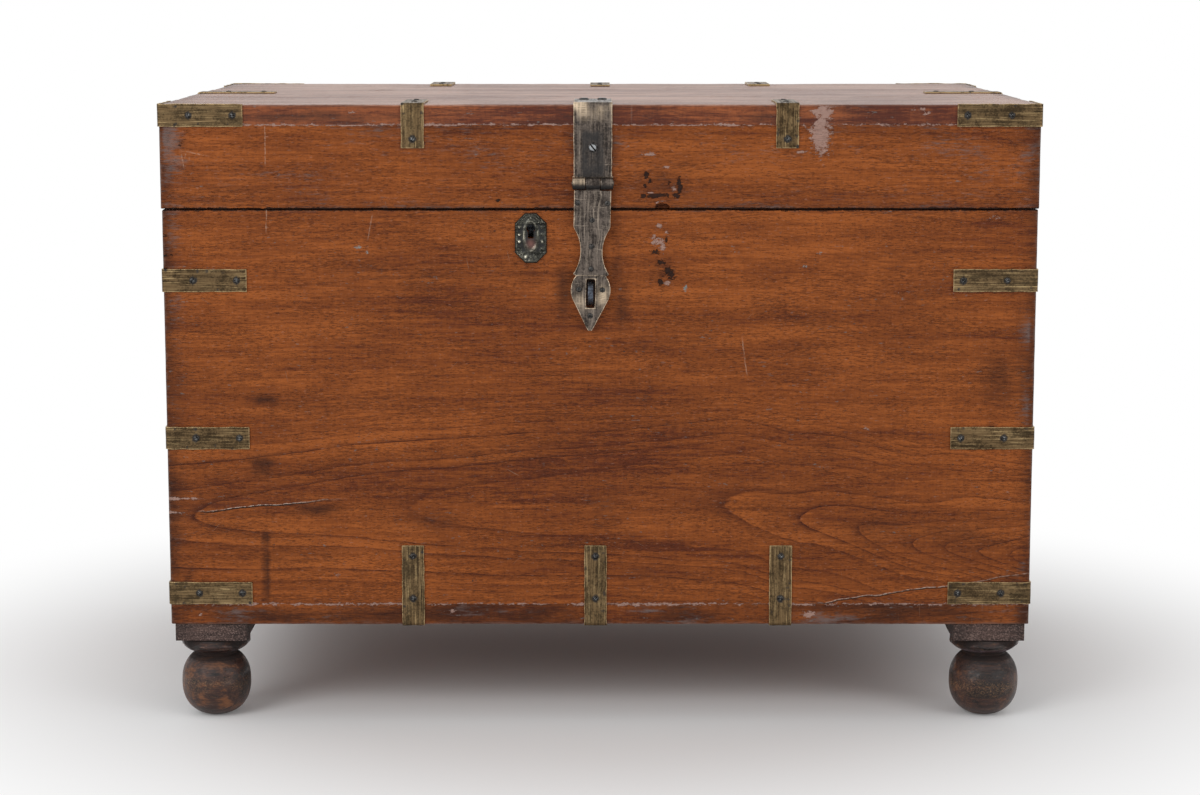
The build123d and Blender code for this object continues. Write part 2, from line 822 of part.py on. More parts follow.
with BuildPart() as lock_case:
    slab(
        (keyhole_place - lock_width / 2, inner_face, lock_top - lock_height),
        (keyhole_place + lock_width / 2, inner_face + lock_depth, lock_top),
    )
    slab(
        (keyhole_place - lock_width / 2 - lock_flange, inner_face, lock_top - lock_height),
        (
            keyhole_place + lock_width / 2 + lock_flange,
            inner_face + lock_flange_thickness,
            lock_top,
        ),
    )
    slab(
        (bolt_left - bolt_travel - channel_gap[0], bolt_y - channel_gap[1], eye_z - channel_gap[2]),
        (bolt_left + bolt_length + channel_gap[0], bolt_y + channel_gap[1], eye_z + channel_gap[2]),
        Mode.SUBTRACT,
    )
    slab(
        (loop_x - loop_half_x - loop_gap, bolt_y - loop_half_y - loop_gap, loop_bottom - loop_gap),
        (loop_x + loop_half_x + loop_gap, bolt_y + loop_half_y + loop_gap, lock_top),
        Mode.SUBTRACT,
    )
    rod(
        (keyhole_place, inner_face + lock_flange_thickness, keyhole_z),
        (keyhole_place, inner_face + lock_flange_thickness + chamber_depth, keyhole_z),
        chamber_radius,
        Mode.SUBTRACT,
    )
    with BuildSketch(keyhole_plane.offset(-wall)):
        keyhole_section()
    extrude(amount=-lock_flange_thickness, mode=Mode.SUBTRACT)
    bore_sites(lock_case, body_sites)
save(lock_case, "lock_case")

with BuildPart() as lock_bolt:
    slab(
        (bolt_left, bolt_y - bolt_thickness / 2, eye_z - bolt_height / 2),
        (bolt_left + bolt_length, bolt_y + bolt_thickness / 2, eye_z + bolt_height / 2),
    )
save(lock_bolt, "lock_bolt")

with BuildPart() as lock_keeper:
    slab(
        (loop_x - keeper_width / 2, lid_inner_face, keeper_bottom),
        (loop_x + keeper_width / 2, lid_inner_face + keeper_thickness, keeper_bottom + keeper_height),
    )
    slab(
        (loop_x - loop_half_x, lid_inner_face, keeper_bottom),
        (loop_x + loop_half_x, bolt_y + loop_half_y, keeper_bottom + keeper_arm),
    )
    slab(
        (loop_x - loop_half_x, bolt_y - loop_half_y, loop_bottom),
        (loop_x + loop_half_x, bolt_y + loop_half_y, keeper_bottom + keeper_arm),
    )
    slab(
        (loop_x - loop_half_x, bolt_y - eye_half_y, eye_z - eye_half_z),
        (loop_x + loop_half_x, bolt_y + eye_half_y, eye_z + eye_half_z),
        Mode.SUBTRACT,
    )
    bore_sites(lock_keeper, lid_sites)
save(lock_keeper, "lock_keeper")

# Side handles

for side, x_sign in left_and_right:
    face_x = x_sign * body_half
    plate_face = face_x + x_sign * plate_thickness
    rod_x = plate_face + x_sign * rod_stand_off
    lug_start = bail_span / 2 + bail_top_bend + lug_gap
    lug_end = lug_start + lug_length
    with BuildPart() as plate:
        with BuildSketch(Plane(origin=(face_x, 0, handle_z), x_dir=(0, 1, 0), z_dir=(x_sign, 0, 0))):
            RectangleRounded(plate_length, plate_height, plate_corner)
        extrude(amount=plate_thickness)
        for y_sign in (-1, 1):
            near, far = sorted((y_sign * lug_start, y_sign * lug_end))
            low_x, high_x = sorted((face_x, rod_x))
            slab((low_x, near, handle_z - lug_radius), (high_x, far, handle_z + lug_radius))
            rod((rod_x, near, handle_z), (rod_x, far, handle_z), lug_radius)
            rod(
                (rod_x, near - cut_margin, handle_z),
                (rod_x, far + cut_margin, handle_z),
                rod_radius + bail_pin_gap,
                Mode.SUBTRACT,
            )
        bore_sites(plate, body_sites)
    save(plate, f"handle_plate_{side}")

    with BuildPart() as bail:
        with BuildLine(Plane.YZ.offset(rod_x)) as path:
            FilletPolyline(
                (-lug_end, handle_z),
                (-bail_span / 2, handle_z),
                (-bail_span / 2, handle_z - bail_drop),
                (bail_span / 2, handle_z - bail_drop),
                (bail_span / 2, handle_z),
                (lug_end, handle_z),
                radius=[bail_top_bend, bail_grip_bend, bail_grip_bend, bail_top_bend],
            )
        with BuildSketch(Plane(origin=(rod_x, -lug_end, handle_z), z_dir=(0, 1, 0))):
            Circle(rod_radius)
        sweep(path=path.line)
    save(bail, f"handle_{side}")

# Fasteners

strip_screw = slotted_screw(head_radius, head_height, shank_radius)
hasp_screw = slotted_screw(hasp_head_radius, hasp_head_height, hasp_shank_radius)
with BuildPart() as escutcheon_pin:
    Cylinder(pin_head_radius, pin_head_height, align=(Align.CENTER, Align.CENTER, Align.MIN))
    Cylinder(escutcheon_pin_radius, shank_length, align=(Align.CENTER, Align.CENTER, Align.MAX))

for label, sites, pattern in (
    ("body_screws", body_sites, strip_screw),
    ("lid_screws", lid_sites, strip_screw),
    ("hasp_screws", hasp_sites, hasp_screw),
    ("escutcheon_pins", escutcheon_pin_sites, escutcheon_pin),
):
    with BuildPart() as group:
        with Locations(*[site.location for site in sites]):
            add(pattern.part)
    save(group, label)
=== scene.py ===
from math import ceil, cos, pi, radians, sin

import bpy
import numpy as np
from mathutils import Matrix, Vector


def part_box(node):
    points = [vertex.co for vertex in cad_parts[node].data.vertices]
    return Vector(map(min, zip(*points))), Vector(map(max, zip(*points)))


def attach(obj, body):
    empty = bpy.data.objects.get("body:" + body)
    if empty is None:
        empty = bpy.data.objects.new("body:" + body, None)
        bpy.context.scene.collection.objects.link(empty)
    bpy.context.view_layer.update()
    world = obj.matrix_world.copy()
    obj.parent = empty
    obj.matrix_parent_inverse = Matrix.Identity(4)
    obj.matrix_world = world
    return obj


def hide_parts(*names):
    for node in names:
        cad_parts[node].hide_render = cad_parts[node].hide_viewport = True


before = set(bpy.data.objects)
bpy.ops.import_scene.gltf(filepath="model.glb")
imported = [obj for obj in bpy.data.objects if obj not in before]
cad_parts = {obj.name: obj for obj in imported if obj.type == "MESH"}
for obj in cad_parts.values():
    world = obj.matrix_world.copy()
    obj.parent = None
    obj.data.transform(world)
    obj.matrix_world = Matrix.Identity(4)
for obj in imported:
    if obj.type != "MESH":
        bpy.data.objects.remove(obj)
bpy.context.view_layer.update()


# Carcass boards: front, back and two sides of flat-sawn teak, half-blind dovetailed at the corners, on
# three bottom planks. Planed by hand, oiled over and over, and since then scratched, stained and patched with
# putty. Lengths are in metres, and MM is one millimetre.

MM = 0.001
arris = 2.5 * MM
far_off = 20 * MM
teak_light, teak_mid, teak_dark = "9c5524", "7f4219", "5b2a13"


def drift(places, size, seed):
    """Smooth noise from -1 to 1. Random numbers stand on a lattice of the given spacing, and each place takes
    the mean of its cell's eight corners, weighed by 3t^2 - 2t^3 of its share of the cell each way."""
    cells = np.asarray(places, float) / size
    base = np.floor(cells).astype(np.int64)
    share = cells - base
    share = share * share * (3 - 2 * share)
    chance = np.random.default_rng(seed).uniform(-1, 1, 4096)
    total = np.zeros(len(cells))
    for corner in np.ndindex(2, 2, 2):
        key = (base + corner) @ np.array([7919, 104729, 1299709])
        weight = np.where(corner, share, 1 - share).prod(axis=1)
        total += weight * chance[key % 4096]
    return total


def rough(places, size, seed, layers=3):
    """Drift at the given size and at halves of it, each layer half as strong."""
    return sum(drift(places, np.asarray(size) / 2**i, seed + i) / 2**i for i in range(layers))


def ease(value, low, high):
    """From 0 at low to 1 at high along 3t^2 - 2t^3, flat outside; low may be above high."""
    share = np.clip((value - low) / (high - low), 0, 1)
    return share * share * (3 - 2 * share)


def stations(low, high, rounding, step, dense=()):
    """Places along one side of a board: both ends, two points on each rounded edge at r(1 - tan a) for even
    angles a, then even steps between, and finer steps over each (from, to, step) stretch of dense."""
    edge = rounding * (1 - np.tan(np.radians([45, 22.5, 0])))
    middle = np.linspace(low + edge[2], high - edge[2], max(2, ceil((high - low) / step)))
    finer = [np.arange(start, stop, by) for start, stop, by in dense]
    inner = np.unique(np.concatenate([middle, *finer]))
    kept = np.concatenate([[True], np.diff(inner) > 0.4 * min([step, *(d[2] for d in dense)])])
    kept[-1] = True
    return np.concatenate([low + edge[:2], inner[kept], high - edge[1::-1]])


def quads_of(number):
    """The four-cornered faces of a grid of vertex numbers."""
    corners = number[:-1, :-1], number[1:, :-1], number[1:, 1:], number[:-1, 1:]
    return np.stack(corners, axis=-1).reshape(-1, 4)


def plank(low, high, step, rounding, seed, wear=0.5, dents=0.25 * MM, dense=((), (), ()), square=()):
    """A closed board. The surface points of a box lattice move onto a ball of radius r about the nearest
    point of the box shrunk by r, which rounds the edges; r varies by smooth noise, as worn and chipped edges
    do, and the faces sink by a second noise. A square (axis, end) side meets another board: the board is made
    longer there by the rounding and then cut back, so that its edges stay sharp."""
    low, high = np.array(low, float), np.array(high, float)
    bounds = low.copy(), high.copy()
    for axis, end in square:
        (low, high)[end][axis] += (-1, 1)[end] * rounding
    lines = [stations(low[i], high[i], rounding, step, dense[i]) for i in range(3)]
    shape = tuple(len(line) for line in lines)
    key = np.indices(shape)
    outer = np.zeros(shape, bool)
    for axis in range(3):
        outer |= (key[axis] == 0) | (key[axis] == shape[axis] - 1)
    number = np.full(shape, -1)
    number[outer] = np.arange(outer.sum())
    places = np.stack([lines[i][key[i][outer]] for i in range(3)], axis=1)
    worn = 1 - wear + wear * np.clip(rough(places, 30 * MM, seed), -1, 1)
    chips = np.clip(rough(places, 9 * MM, seed + 7) - 0.55, 0, 1) * 2.2 * wear
    radius = (rounding * np.clip(worn + chips, 0.25, 1.8))[:, None]
    core = np.clip(places, low + radius, high - radius)
    away = places - core
    length = np.maximum(np.linalg.norm(away, axis=1, keepdims=True), 1e-9)
    sunk = dents * (0.5 + 0.5 * np.clip(rough(places, 45 * MM, seed + 13), -1, 1))
    out = core + away / length * (radius - sunk[:, None])
    for axis, end in square:
        out[:, axis] = (np.maximum, np.minimum)[end](out[:, axis], bounds[end][axis])
    faces = []
    for axis in range(3):
        for end in (0, -1):
            sheet = np.moveaxis(number, axis, 0)[end]
            quads = quads_of(sheet)
            faces.append(quads if (end == -1) != (axis == 1) else quads[:, ::-1])
    return out, np.concatenate(faces)


def new_piece(name, places, faces, sharp=40):
    """An object at the origin from points and faces, shaded smooth except over edges above an angle."""
    mesh = bpy.data.meshes.new(name)
    mesh.from_pydata(np.asarray(places).tolist(), [], [list(face) for face in faces])
    mesh.validate()
    mesh.shade_smooth()
    mesh.set_sharp_from_angle(angle=radians(sharp))
    piece = bpy.data.objects.new(name, mesh)
    bpy.context.scene.collection.objects.link(piece)
    return piece


def joined(shapes):
    """One list of points and one of faces from several."""
    starts = np.cumsum([0] + [len(places) for places, _ in shapes])
    faces = [list(np.asarray(face) + start) for (_, group), start in zip(shapes, starts) for face in group]
    return np.concatenate([places for places, _ in shapes]), faces


def points_of(piece):
    """The piece's vertices as rows of x, y, z."""
    places = np.empty(len(piece.data.vertices) * 3)
    piece.data.vertices.foreach_get("co", places)
    return places.reshape(-1, 3)


def finish(piece, fields, material, body, *nodes, slot=None):
    """Stores each field, one number or one triple per vertex, as an attribute of its name. Gives the piece
    its material. The slot argument is not used. Rides it on a body and hides the nodes it stands for."""
    for name, values in fields.items():
        kind, key = ("FLOAT_VECTOR", "vector") if values.ndim == 2 else ("FLOAT", "value")
        layer = piece.data.attributes.new(name, kind, "POINT")
        layer.data.foreach_set(key, np.ascontiguousarray(values, np.float32).ravel())
    piece.data.materials.append(material)
    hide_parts(*nodes)
    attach(piece, body)


def shade(code):
    """The linear colour of a six-digit sRGB code."""
    part = np.array([int(code[i : i + 2], 16) for i in (0, 2, 4)]) / 255
    linear = np.where(part <= 0.04045, part / 12.92, ((part + 0.055) / 1.055) ** 2.4)
    return (*(float(value) for value in linear), 1.0)


class Signal:
    """A shader node's output. The signs + - * ** and abs join it to others, or to numbers, by Math nodes."""

    def __init__(self, wiring, socket):
        self.wiring = wiring
        self.socket = socket

    def __add__(self, other):
        return self.wiring.maths("ADD", self, other)

    def __sub__(self, other):
        return self.wiring.maths("SUBTRACT", self, other)

    def __rsub__(self, other):
        return self.wiring.maths("SUBTRACT", other, self)

    def __mul__(self, other):
        return self.wiring.maths("MULTIPLY", self, other)

    def __pow__(self, other):
        return self.wiring.maths("POWER", self, other)

    def __abs__(self):
        return self.wiring.maths("ABSOLUTE", self)


class Wiring:
    """Adds shader nodes to one tree and joins them. Most calls give the new node's output as a signal."""

    def __init__(self, tree):
        self.tree = tree

    def join(self, value, socket):
        """Feeds a number, a colour or a signal to a socket."""
        if isinstance(value, Signal):
            self.tree.links.new(value.socket, socket)
        else:
            socket.default_value = value

    def add(self, kind, inputs=(), out=0, **settings):
        """One node; inputs maps a socket's name or number to what feeds it."""
        node = self.tree.nodes.new("ShaderNode" + kind)
        for name, value in settings.items():
            setattr(node, name, value)
        for key, value in dict(inputs).items():
            self.join(value, node.inputs[key])
        return Signal(self, node.outputs[out])

    def group(self, tree, **inputs):
        """A shader group put in; gives its outputs by name."""
        node = self.tree.nodes.new("ShaderNodeGroup")
        node.node_tree = tree
        for key, value in inputs.items():
            self.join(value, node.inputs[key])
        return {socket.name: Signal(self, socket) for socket in node.outputs}

    def show(self, shader, kind="Material"):
        """Joins a shader to the material's or the world's output."""
        end = self.tree.nodes.new("ShaderNodeOutput" + kind)
        self.join(shader, end.inputs["Surface"])

    def maths(self, operation, first, second=0.0):
        """One Math node."""
        return self.add("Math", {0: first, 1: second}, operation=operation)

    def most(self, highest, *others):
        """The highest of several signals."""
        for other in others:
            highest = self.maths("MAXIMUM", highest, other)
        return highest

    def step(self, value, low, high, at_low=0.0, at_high=1.0):
        """The value carried smoothly from low..high to at_low..at_high."""
        ends = {"Value": value, "From Min": low, "From Max": high, "To Min": at_low, "To Max": at_high}
        return self.add("MapRange", ends, interpolation_type="SMOOTHSTEP")

    def mix(self, share, first, second):
        """Two colours mixed; a colour may be a six-digit code."""
        first, second = (shade(c) if isinstance(c, str) else c for c in (first, second))
        return self.add("Mix", {0: share, 6: first, 7: second}, 2, data_type="RGBA")

    def noise(self, place, scale, detail=3.0, roughness=0.55, twist=0.0, stretch=None):
        """Noise of a scale per metre: one number, or three for a noise drawn out along an axis. A stretch
        multiplies the place first."""
        if isinstance(scale, tuple):
            scale, stretch = 1.0, scale
        if stretch:
            place = self.add("VectorMath", {0: place, 1: stretch}, operation="MULTIPLY")
        ends = {"Vector": place, "Scale": scale, "Detail": detail, "Roughness": roughness}
        return self.add("TexNoise", ends | {"Distortion": twist}, "Fac")

    def field(self, name, out="Fac"):
        """A painted attribute."""
        return self.add("Attribute", out=out, attribute_name=name)


def new_group(name, **inputs):
    """A shader group with the named inputs, None for a vector: its wiring and its inputs."""
    tree = bpy.data.node_groups.new(name, "ShaderNodeTree")
    for key, value in inputs.items():
        kind = "NodeSocketVector" if value is None else "NodeSocketFloat"
        socket = tree.interface.new_socket(key, in_out="INPUT", socket_type=kind)
        if value is not None:
            socket.default_value = value
    w = Wiring(tree)
    given = tree.nodes.new("NodeGroupInput").outputs
    return w, {key: Signal(w, given[key]) for key in inputs}


def end_group(w, **results):
    """Gives a shader group its outputs, each fed by a result."""
    for key in results:
        w.tree.interface.new_socket(key, in_out="OUTPUT", socket_type="NodeSocketFloat")
    end = w.tree.nodes.new("NodeGroupOutput")
    for key, value in results.items():
        w.join(value, end.inputs[key])
    return w.tree


def timber_group():
    """Grain along the first axis of Place. Tone sums noises from broad to fibre-fine, all long along the
    grain, and each ring's own shade; Pore is short dark dashes, Fleck short pale ones, and Line is dark at
    the start of each ring and fades over it as (1 - f)^9, with a wider shade as (1 - f)^1.6, f being the
    fraction of the ring count."""
    w, given = new_group("timber", Place=None, Ring=0.0, Figure=1.0)
    place = given["Place"]
    broad = w.noise(place, (3, 30, 30), 4, 0.62, 0.4)
    narrow = w.noise(place, (9, 210, 210), 3, 0.68)
    fibre = w.noise(place, (60, 560, 560), 3, 0.75)
    cross = w.noise(place, (480, 60, 60), 2, 0.6)
    tone = broad * 0.36 + narrow * 0.26 + fibre * 0.30 + cross * 0.08
    where = w.noise(place, (14, 60, 60), 2)
    dashes = w.noise(place, (150, 1000, 900), 2, 0.6)
    dash = w.step(dashes + where * 0.3, 0.70, 0.82)
    wobble = (w.noise(place, (22, 90, 90), 3) - 0.5) * 0.1
    count = given["Ring"] + wobble
    share = w.maths("FRACT", count)
    own = w.add("TexWhiteNoise", {"W": w.maths("FLOOR", count)}, "Value", noise_dimensions="1D")
    left = 1.0 - share
    fade = left**9.0 * 0.95 + left**1.6 * 0.30
    line = fade * w.step(share, 0.0, 0.03) * (own * 0.65 + 0.45)
    broken = w.step(w.noise(place, (22, 260, 200), 3), 0.34, 0.56, 0.5, 1.0)
    line = line * broken * given["Figure"]
    tone = tone + (own - 0.5) * given["Figure"] * 0.045
    fleck = w.step(w.noise(place, (170, 600, 600), 3, 0.7), 0.60, 0.70)
    return end_group(w, Tone=tone, Pore=dash, Line=line, Fleck=fleck)


def wear_group():
    """Marks of use, long along the grain. Dirt follows the painted Grime field through noise, so it darkens
    real dirt and, where that field carries it, painted shade; Haze follows the painted Dust, and Chip is
    small knocks. Scratch keeps only the peaks of noise stretched to long straight needles on three slants,
    and only where a coarser noise is high."""
    w, given = new_group("wear", Place=None, Grime=0.0, Dust=0.0, Amount=1.0)
    place = given["Place"]
    cloud = w.noise(place, (9, 24, 24), 5, 0.62, 0.5)
    fine = w.noise(place, (75, 380, 380), 4, 0.7)
    worked = cloud * 0.6 + fine * 0.4
    dirt = w.step(worked + given["Grime"] * 0.5, 0.58, 0.98)
    haze = w.step(cloud * 0.4 + fine * 0.6 + given["Dust"] * 0.42, 0.64, 0.86)
    blotch = w.noise(place, 4.2, 4, 0.6, 0.6)
    marks = []
    for turn, seed in ((1.35, 3.1), (0.5, 7.7), (-0.8, 1.9)):
        turned = w.add("VectorRotate", {"Vector": place, "Angle": turn}, rotation_type="Z_AXIS")
        moved = w.add("VectorMath", {0: turned, 1: (seed, seed, 0)}, operation="ADD")
        needle = w.step(w.noise(moved, (26, 640, 9), 1, 0.4), 0.74, 0.80)
        few = w.step(w.noise(moved, 14, 2), 0.58, 0.66)
        marks.append(needle * few)
    scratch = w.most(*marks) * given["Amount"]
    chip = w.step(w.noise(place, (120, 330, 330), 3, 0.6), 0.66, 0.71) * w.step(cloud, 0.48, 0.56)
    return end_group(w, Dirt=dirt, Haze=haze, Scratch=scratch, Blotch=blotch, Chip=chip)


timber = timber_group()
wear = wear_group()


def new_material(name):
    """An empty material and its wiring."""
    material = bpy.data.materials.new(name)
    material.use_nodes = True
    material.node_tree.nodes.clear()
    return material, Wiring(material.node_tree)


def plug(w, colour, roughness, height, depth, metal=0.0, gloss=0.5):
    """Ends a material with a Principled shader, fed with colour, roughness, a bump of the given depth, metal
    (a number or a mask) and the gloss of what is bare of metal."""
    bump = w.add("Bump", {"Height": height, "Distance": depth, "Strength": 1.0})
    fed = {"Base Color": colour, "Roughness": roughness, "Normal": bump, "Metallic": metal}
    w.show(w.add("BsdfPrincipled", fed | {"Specular IOR Level": gloss}))


def wood_layers(w, amount=1.0):
    """What each sawn wood starts from: its grain coordinates, its timber and its marks of use."""
    place = w.field("grain", "Vector")
    wood = w.group(timber, Place=place, Ring=w.field("ring"), Figure=w.field("figure"))
    used = w.group(wear, Place=place, Grime=w.field("grime"), Dust=w.field("dust"), Amount=amount)
    return place, wood, used


def aged(w, colour, place, used, haze, pale):
    """What time leaves on the teak, over its colour: dirt with painted shade, grey haze, scratches, blue-grey
    knocks, scuffed edges, putty, pits with near-black painted shade, and verdigris from the brass. Gives the
    colour and the masks of putty and of pits with painted shade."""
    # These two darken the teak along the grime field: real soiling, and round the hasp's leaf a painted
    # shadow.
    colour = w.mix(w.field("grime") * 0.38, colour, "34170b")
    colour = w.mix(used["Dirt"] * 0.8, colour, "29120a")
    colour = w.mix(used["Haze"] * 0.7, colour, haze)
    colour = w.mix(used["Scratch"] * 0.45, colour, pale)
    colour = w.mix(used["Chip"] * 0.55, colour, "6d6c6a")
    worn = w.field("worn")
    scuffed = w.step(w.noise(place, 160, 4, 0.7, stretch=(0.25, 1, 1)) + worn * 0.3, 0.62, 0.86)
    colour = w.mix(scuffed * worn * 0.6, colour, "6f564b")
    ragged = w.noise(place, 240, 6, 0.8, stretch=(0.6, 1, 1))
    loose = (ragged - 0.5) * 2.8
    putty = w.step(w.field("filler") + loose, 0.46, 0.56)
    colour = w.mix(putty * 0.9, colour, w.mix(ragged, "7b5c50", "b3958a"))
    teal = w.step(w.field("verdigris") + loose, 0.46, 0.60)
    colour = w.mix(teal * 0.8, colour, "76898a")
    # Pits, and near-black painted shade: in the seam between lid and body and behind the hasp's slot.
    pit = w.step(w.field("pit") + loose, 0.46, 0.58)
    return w.mix(pit * 0.92, colour, "1b0f0b"), putty, pit


def bare_wood(w, colour, place, raw):
    """Puts raw wood on the inner side, and darker end grain on the ends, over a colour."""
    colour = w.mix(w.field("inside"), colour, raw)
    ends = w.mix(w.step(w.noise(place, 900, stretch=(0.2, 1, 1)), 0.35, 0.65), "35190f", "6d4330")
    return w.mix(w.field("end") * 0.8, colour, ends)


def teak_material():
    """Oiled teak: tone by grain and blotches, then rings, pores, raw wood inside, end grain, age, scores and
    cracks, each mixed over the last by its mask."""
    material, w = new_material("oiled_teak")
    place, wood, used = wood_layers(w)
    tone = wood["Tone"] * 0.86 + used["Blotch"] * 0.14
    colour = w.mix(w.step(tone, 0.40, 0.49), teak_dark, teak_mid)
    colour = w.mix(w.step(tone, 0.48, 0.58), colour, teak_light)
    colour = w.mix(wood["Line"] * 0.95, colour, "3c1509")
    colour = w.mix(wood["Pore"] * 0.5, colour, "37150a")
    colour = w.mix(wood["Fleck"] * 0.38, colour, "a47a68")
    raw = w.mix(w.step(tone, 0.38, 0.60), "6f5138", "94704d")
    colour = bare_wood(w, colour, place, w.mix(wood["Line"] * 0.6, raw, "4a3222"))
    colour, putty, pit = aged(w, colour, place, used, "716461", "a3806b")
    bend = (w.noise(place, 60) - 0.5) * 0.004
    patchy = w.step(w.noise(place, 330, 4, 0.7), 0.35, 0.6)
    score = w.step(abs(w.field("score") + bend * 0.6), 0.9 * MM, 0.3 * MM)
    colour = w.mix(score * w.field("scored") * patchy, colour, "bb9a84")
    split = w.field("crack") + bend
    gap = w.step(abs(split), 0.8 * MM, 0.3 * MM) * w.field("cracked")
    lip = w.step(abs(split - 0.8 * MM), 1.0 * MM, 0.4 * MM) * w.field("cracked")
    colour = w.mix(lip * patchy, colour, "b9a497")
    colour = w.mix(gap, colour, "170b07")
    roughness = w.step(used["Haze"], 0.0, 1.0, 0.46, 0.75) + w.field("inside") * 0.25
    height = wood["Tone"] * 0.9 + wood["Pore"] * -0.5 + wood["Line"] * 0.25 - used["Scratch"] * 0.5
    height = height - (gap + pit) * 1.8 + putty * 0.5
    plug(w, colour, roughness, height, 0.55 * MM, gloss=0.15)
    return material


oiled_teak = teak_material()


def prisms(axis, low, high, outlines):
    """Closed prisms along an axis between two places, one for each outline on the other two axes."""
    shapes = []
    for outline in outlines:
        outline = np.asarray(outline, float)
        count = len(outline)
        ends = [np.insert(outline, axis, level, axis=1) for level in (low, high)]
        ring = np.arange(count)
        after = (ring + 1) % count
        faces = [*np.stack([ring, after, after + count, ring + count], axis=1), ring + count, ring[::-1]]
        ahead = np.roll(outline, -1, axis=0)
        area = (outline[:, 0] * ahead[:, 1] - ahead[:, 0] * outline[:, 1]).sum()
        if (area < 0) != (axis == 1):
            faces = [face[::-1] for face in faces]
        shapes.append((np.concatenate(ends), faces))
    return joined(shapes)


def dovetails(root, tip, low, high, grow, gaps=False):
    """Outlines of a row of dovetails, or of the gaps between them, seen along the joint. Each tail is half
    the pitch wide at its root and widens by a sixth of its length each side; the gaps are what is left."""
    count = max(1, round((high - low) / (62 * MM)))
    pitch = (high - low) / count
    out = np.sign(tip - root)
    slope = abs(tip - root) / 6
    if gaps:
        centres = low + pitch * np.arange(count + 1)
        near, far = pitch / 4 + grow, pitch / 4 + grow - slope
        start, stop = root - out * 0.05 * MM, tip + out * 3 * MM
    else:
        centres = low + pitch * (np.arange(count) + 0.5)
        near, far = pitch / 4 + grow, pitch / 4 + grow + slope
        start, stop = root - out * 2 * MM, tip
    return [[(start, z - near), (start, z + near), (stop, z + far), (stop, z - far)] for z in centres]


def cut_away(piece, *cutters):
    """Takes closed prisms off a piece by a Boolean difference, made permanent."""
    cutter = new_piece("cutter", *joined(cutters))
    modifier = piece.modifiers.new("cut", "BOOLEAN")
    modifier.operation = "DIFFERENCE"
    modifier.solver = "MANIFOLD"
    modifier.object = cutter
    made = bpy.data.meshes.new_from_object(piece.evaluated_get(bpy.context.evaluated_depsgraph_get()))
    piece.modifiers.clear()
    old, piece.data = piece.data, made
    bpy.data.meshes.remove(old)
    bpy.data.objects.remove(cutter)
    made.name = piece.name
    made.materials.clear()
    made.polygons.foreach_set("material_index", np.zeros(len(made.polygons), np.int32))
    made.set_sharp_from_angle(angle=radians(40))


def rings_of(along, across, depth, start, slope, radii, seed, wobble=1.0):
    """The ring count on a flat-sawn face: the root of slope times the distance to the place where the cone of
    rings opens, plus the square of the distance across, looked up among the rings' radii."""
    spot = np.column_stack([along, across, depth])
    across = across + wobble * 3 * MM * rough(spot, (160 * MM, 40 * MM, 1), seed)
    along = along + wobble * 14 * MM * drift(spot, (90 * MM, 30 * MM, 1), seed + 5)
    reach = np.sqrt(np.maximum(slope * (start - along), 0) + across**2) + 0.5 * depth
    return np.interp(reach, radii, np.arange(len(radii)))


def ring_radii(seed, near=(), widest=11 * MM):
    """Radii of rings out to 1.2 m: those given, then random steps, some years narrow and some wide."""
    steps = np.random.default_rng(seed).gamma(2.6, widest / 5, 400) + 1.6 * MM
    radii = np.concatenate([near, (near[-1] if len(near) else 0) + np.cumsum(steps)])
    return radii[radii < 1.2]


def board_fields(places, low, high, along, across, depth, inner, seed, seams=(), joints=()):
    """What every board carries: grain coordinates, raw wood on its inner side, end grain, worn edges (within
    4.5 mm of two faces at once), and the dirt and dust that gather there. Each side named (axis, end) in
    seams is painted near-black at its edges, a painted shade of the gap between lid and body, and in joints
    is bedded in putty that shows there as a ragged thin line."""
    away = np.minimum(places - low, high - places)
    worn = ease(np.sort(away, axis=1)[:, 1], 4.5 * MM, 0.8 * MM)
    pit, filler = np.zeros((2, len(places)))
    for axis, end in (*seams, *joints):
        off = abs(places[:, axis] - (low, high)[end][axis])
        at_edge = ease(np.delete(away, axis, axis=1).min(axis=1), 3 * MM, 0.8 * MM)
        if (axis, end) in seams:
            # Painted shade: the arrises at a seam between lid and body are darkened near-black, as the gap's
            # shade, and lose their pale wear.
            close = ease(off, 2.2 * MM, 0.5 * MM) * at_edge
            pit = np.maximum(pit, 0.9 * close)
            worn = worn * (1 - close)
        else:
            close = ease(off, 2.4 * MM, 0.6 * MM) * at_edge
            filler = np.maximum(filler, close * (0.55 + 0.25 * rough(places, 45 * MM, seed + 33)))
            worn = worn * (1 - ease(off, 6 * MM, 2 * MM))
    from_end, from_side = away[:, along], away[:, across]
    patchy = 0.5 + 0.5 * rough(places, 60 * MM, seed + 31)
    bare = ease(from_end, 36 * MM, 6 * MM) * ease(from_end, 2 * MM, 6 * MM)
    bare *= np.clip(0.3 + rough(places, 55 * MM, seed + 35), 0, 1)
    none = np.zeros(len(places))
    inside = none
    if inner:
        inner_face = high[depth] if inner > 0 else low[depth]
        inside = ease(abs(places[:, depth] - inner_face), 1.2 * MM, 0.4 * MM)
    return dict(
        grain=places[:, [along, across, depth]] + np.random.default_rng(seed).uniform(-9, 9, 3),
        grime=0.25 * patchy + 0.5 * ease(from_end, 26 * MM, 0) + 0.25 * ease(from_side, 14 * MM, 0) * patchy,
        dust=0.15 * patchy + 0.6 * bare + 0.15 * worn,
        end=ease(from_end, 1.6 * MM, 0.6 * MM),
        worn=worn, inside=inside, filler=filler, pit=pit, verdigris=none, ring=none, figure=none + 0.5,
        crack=none + far_off, cracked=none, score=none + far_off, scored=none,
    )


def dab(fields, name, places, marks, share=1.0):
    """Raises a field to round soft spots, listed one by one, each full at its middle and half at its edge:
    (x, z, half width, half height, strength) in millimetres. A share weakens them all."""
    for x, z, half_x, half_z, strength in marks:
        reach = ((places[:, 0] / MM - x) / half_x) ** 2 + ((places[:, 2] / MM - z) / half_z) ** 2
        fields[name] = np.maximum(fields[name], share * strength * np.exp(-0.693 * reach))


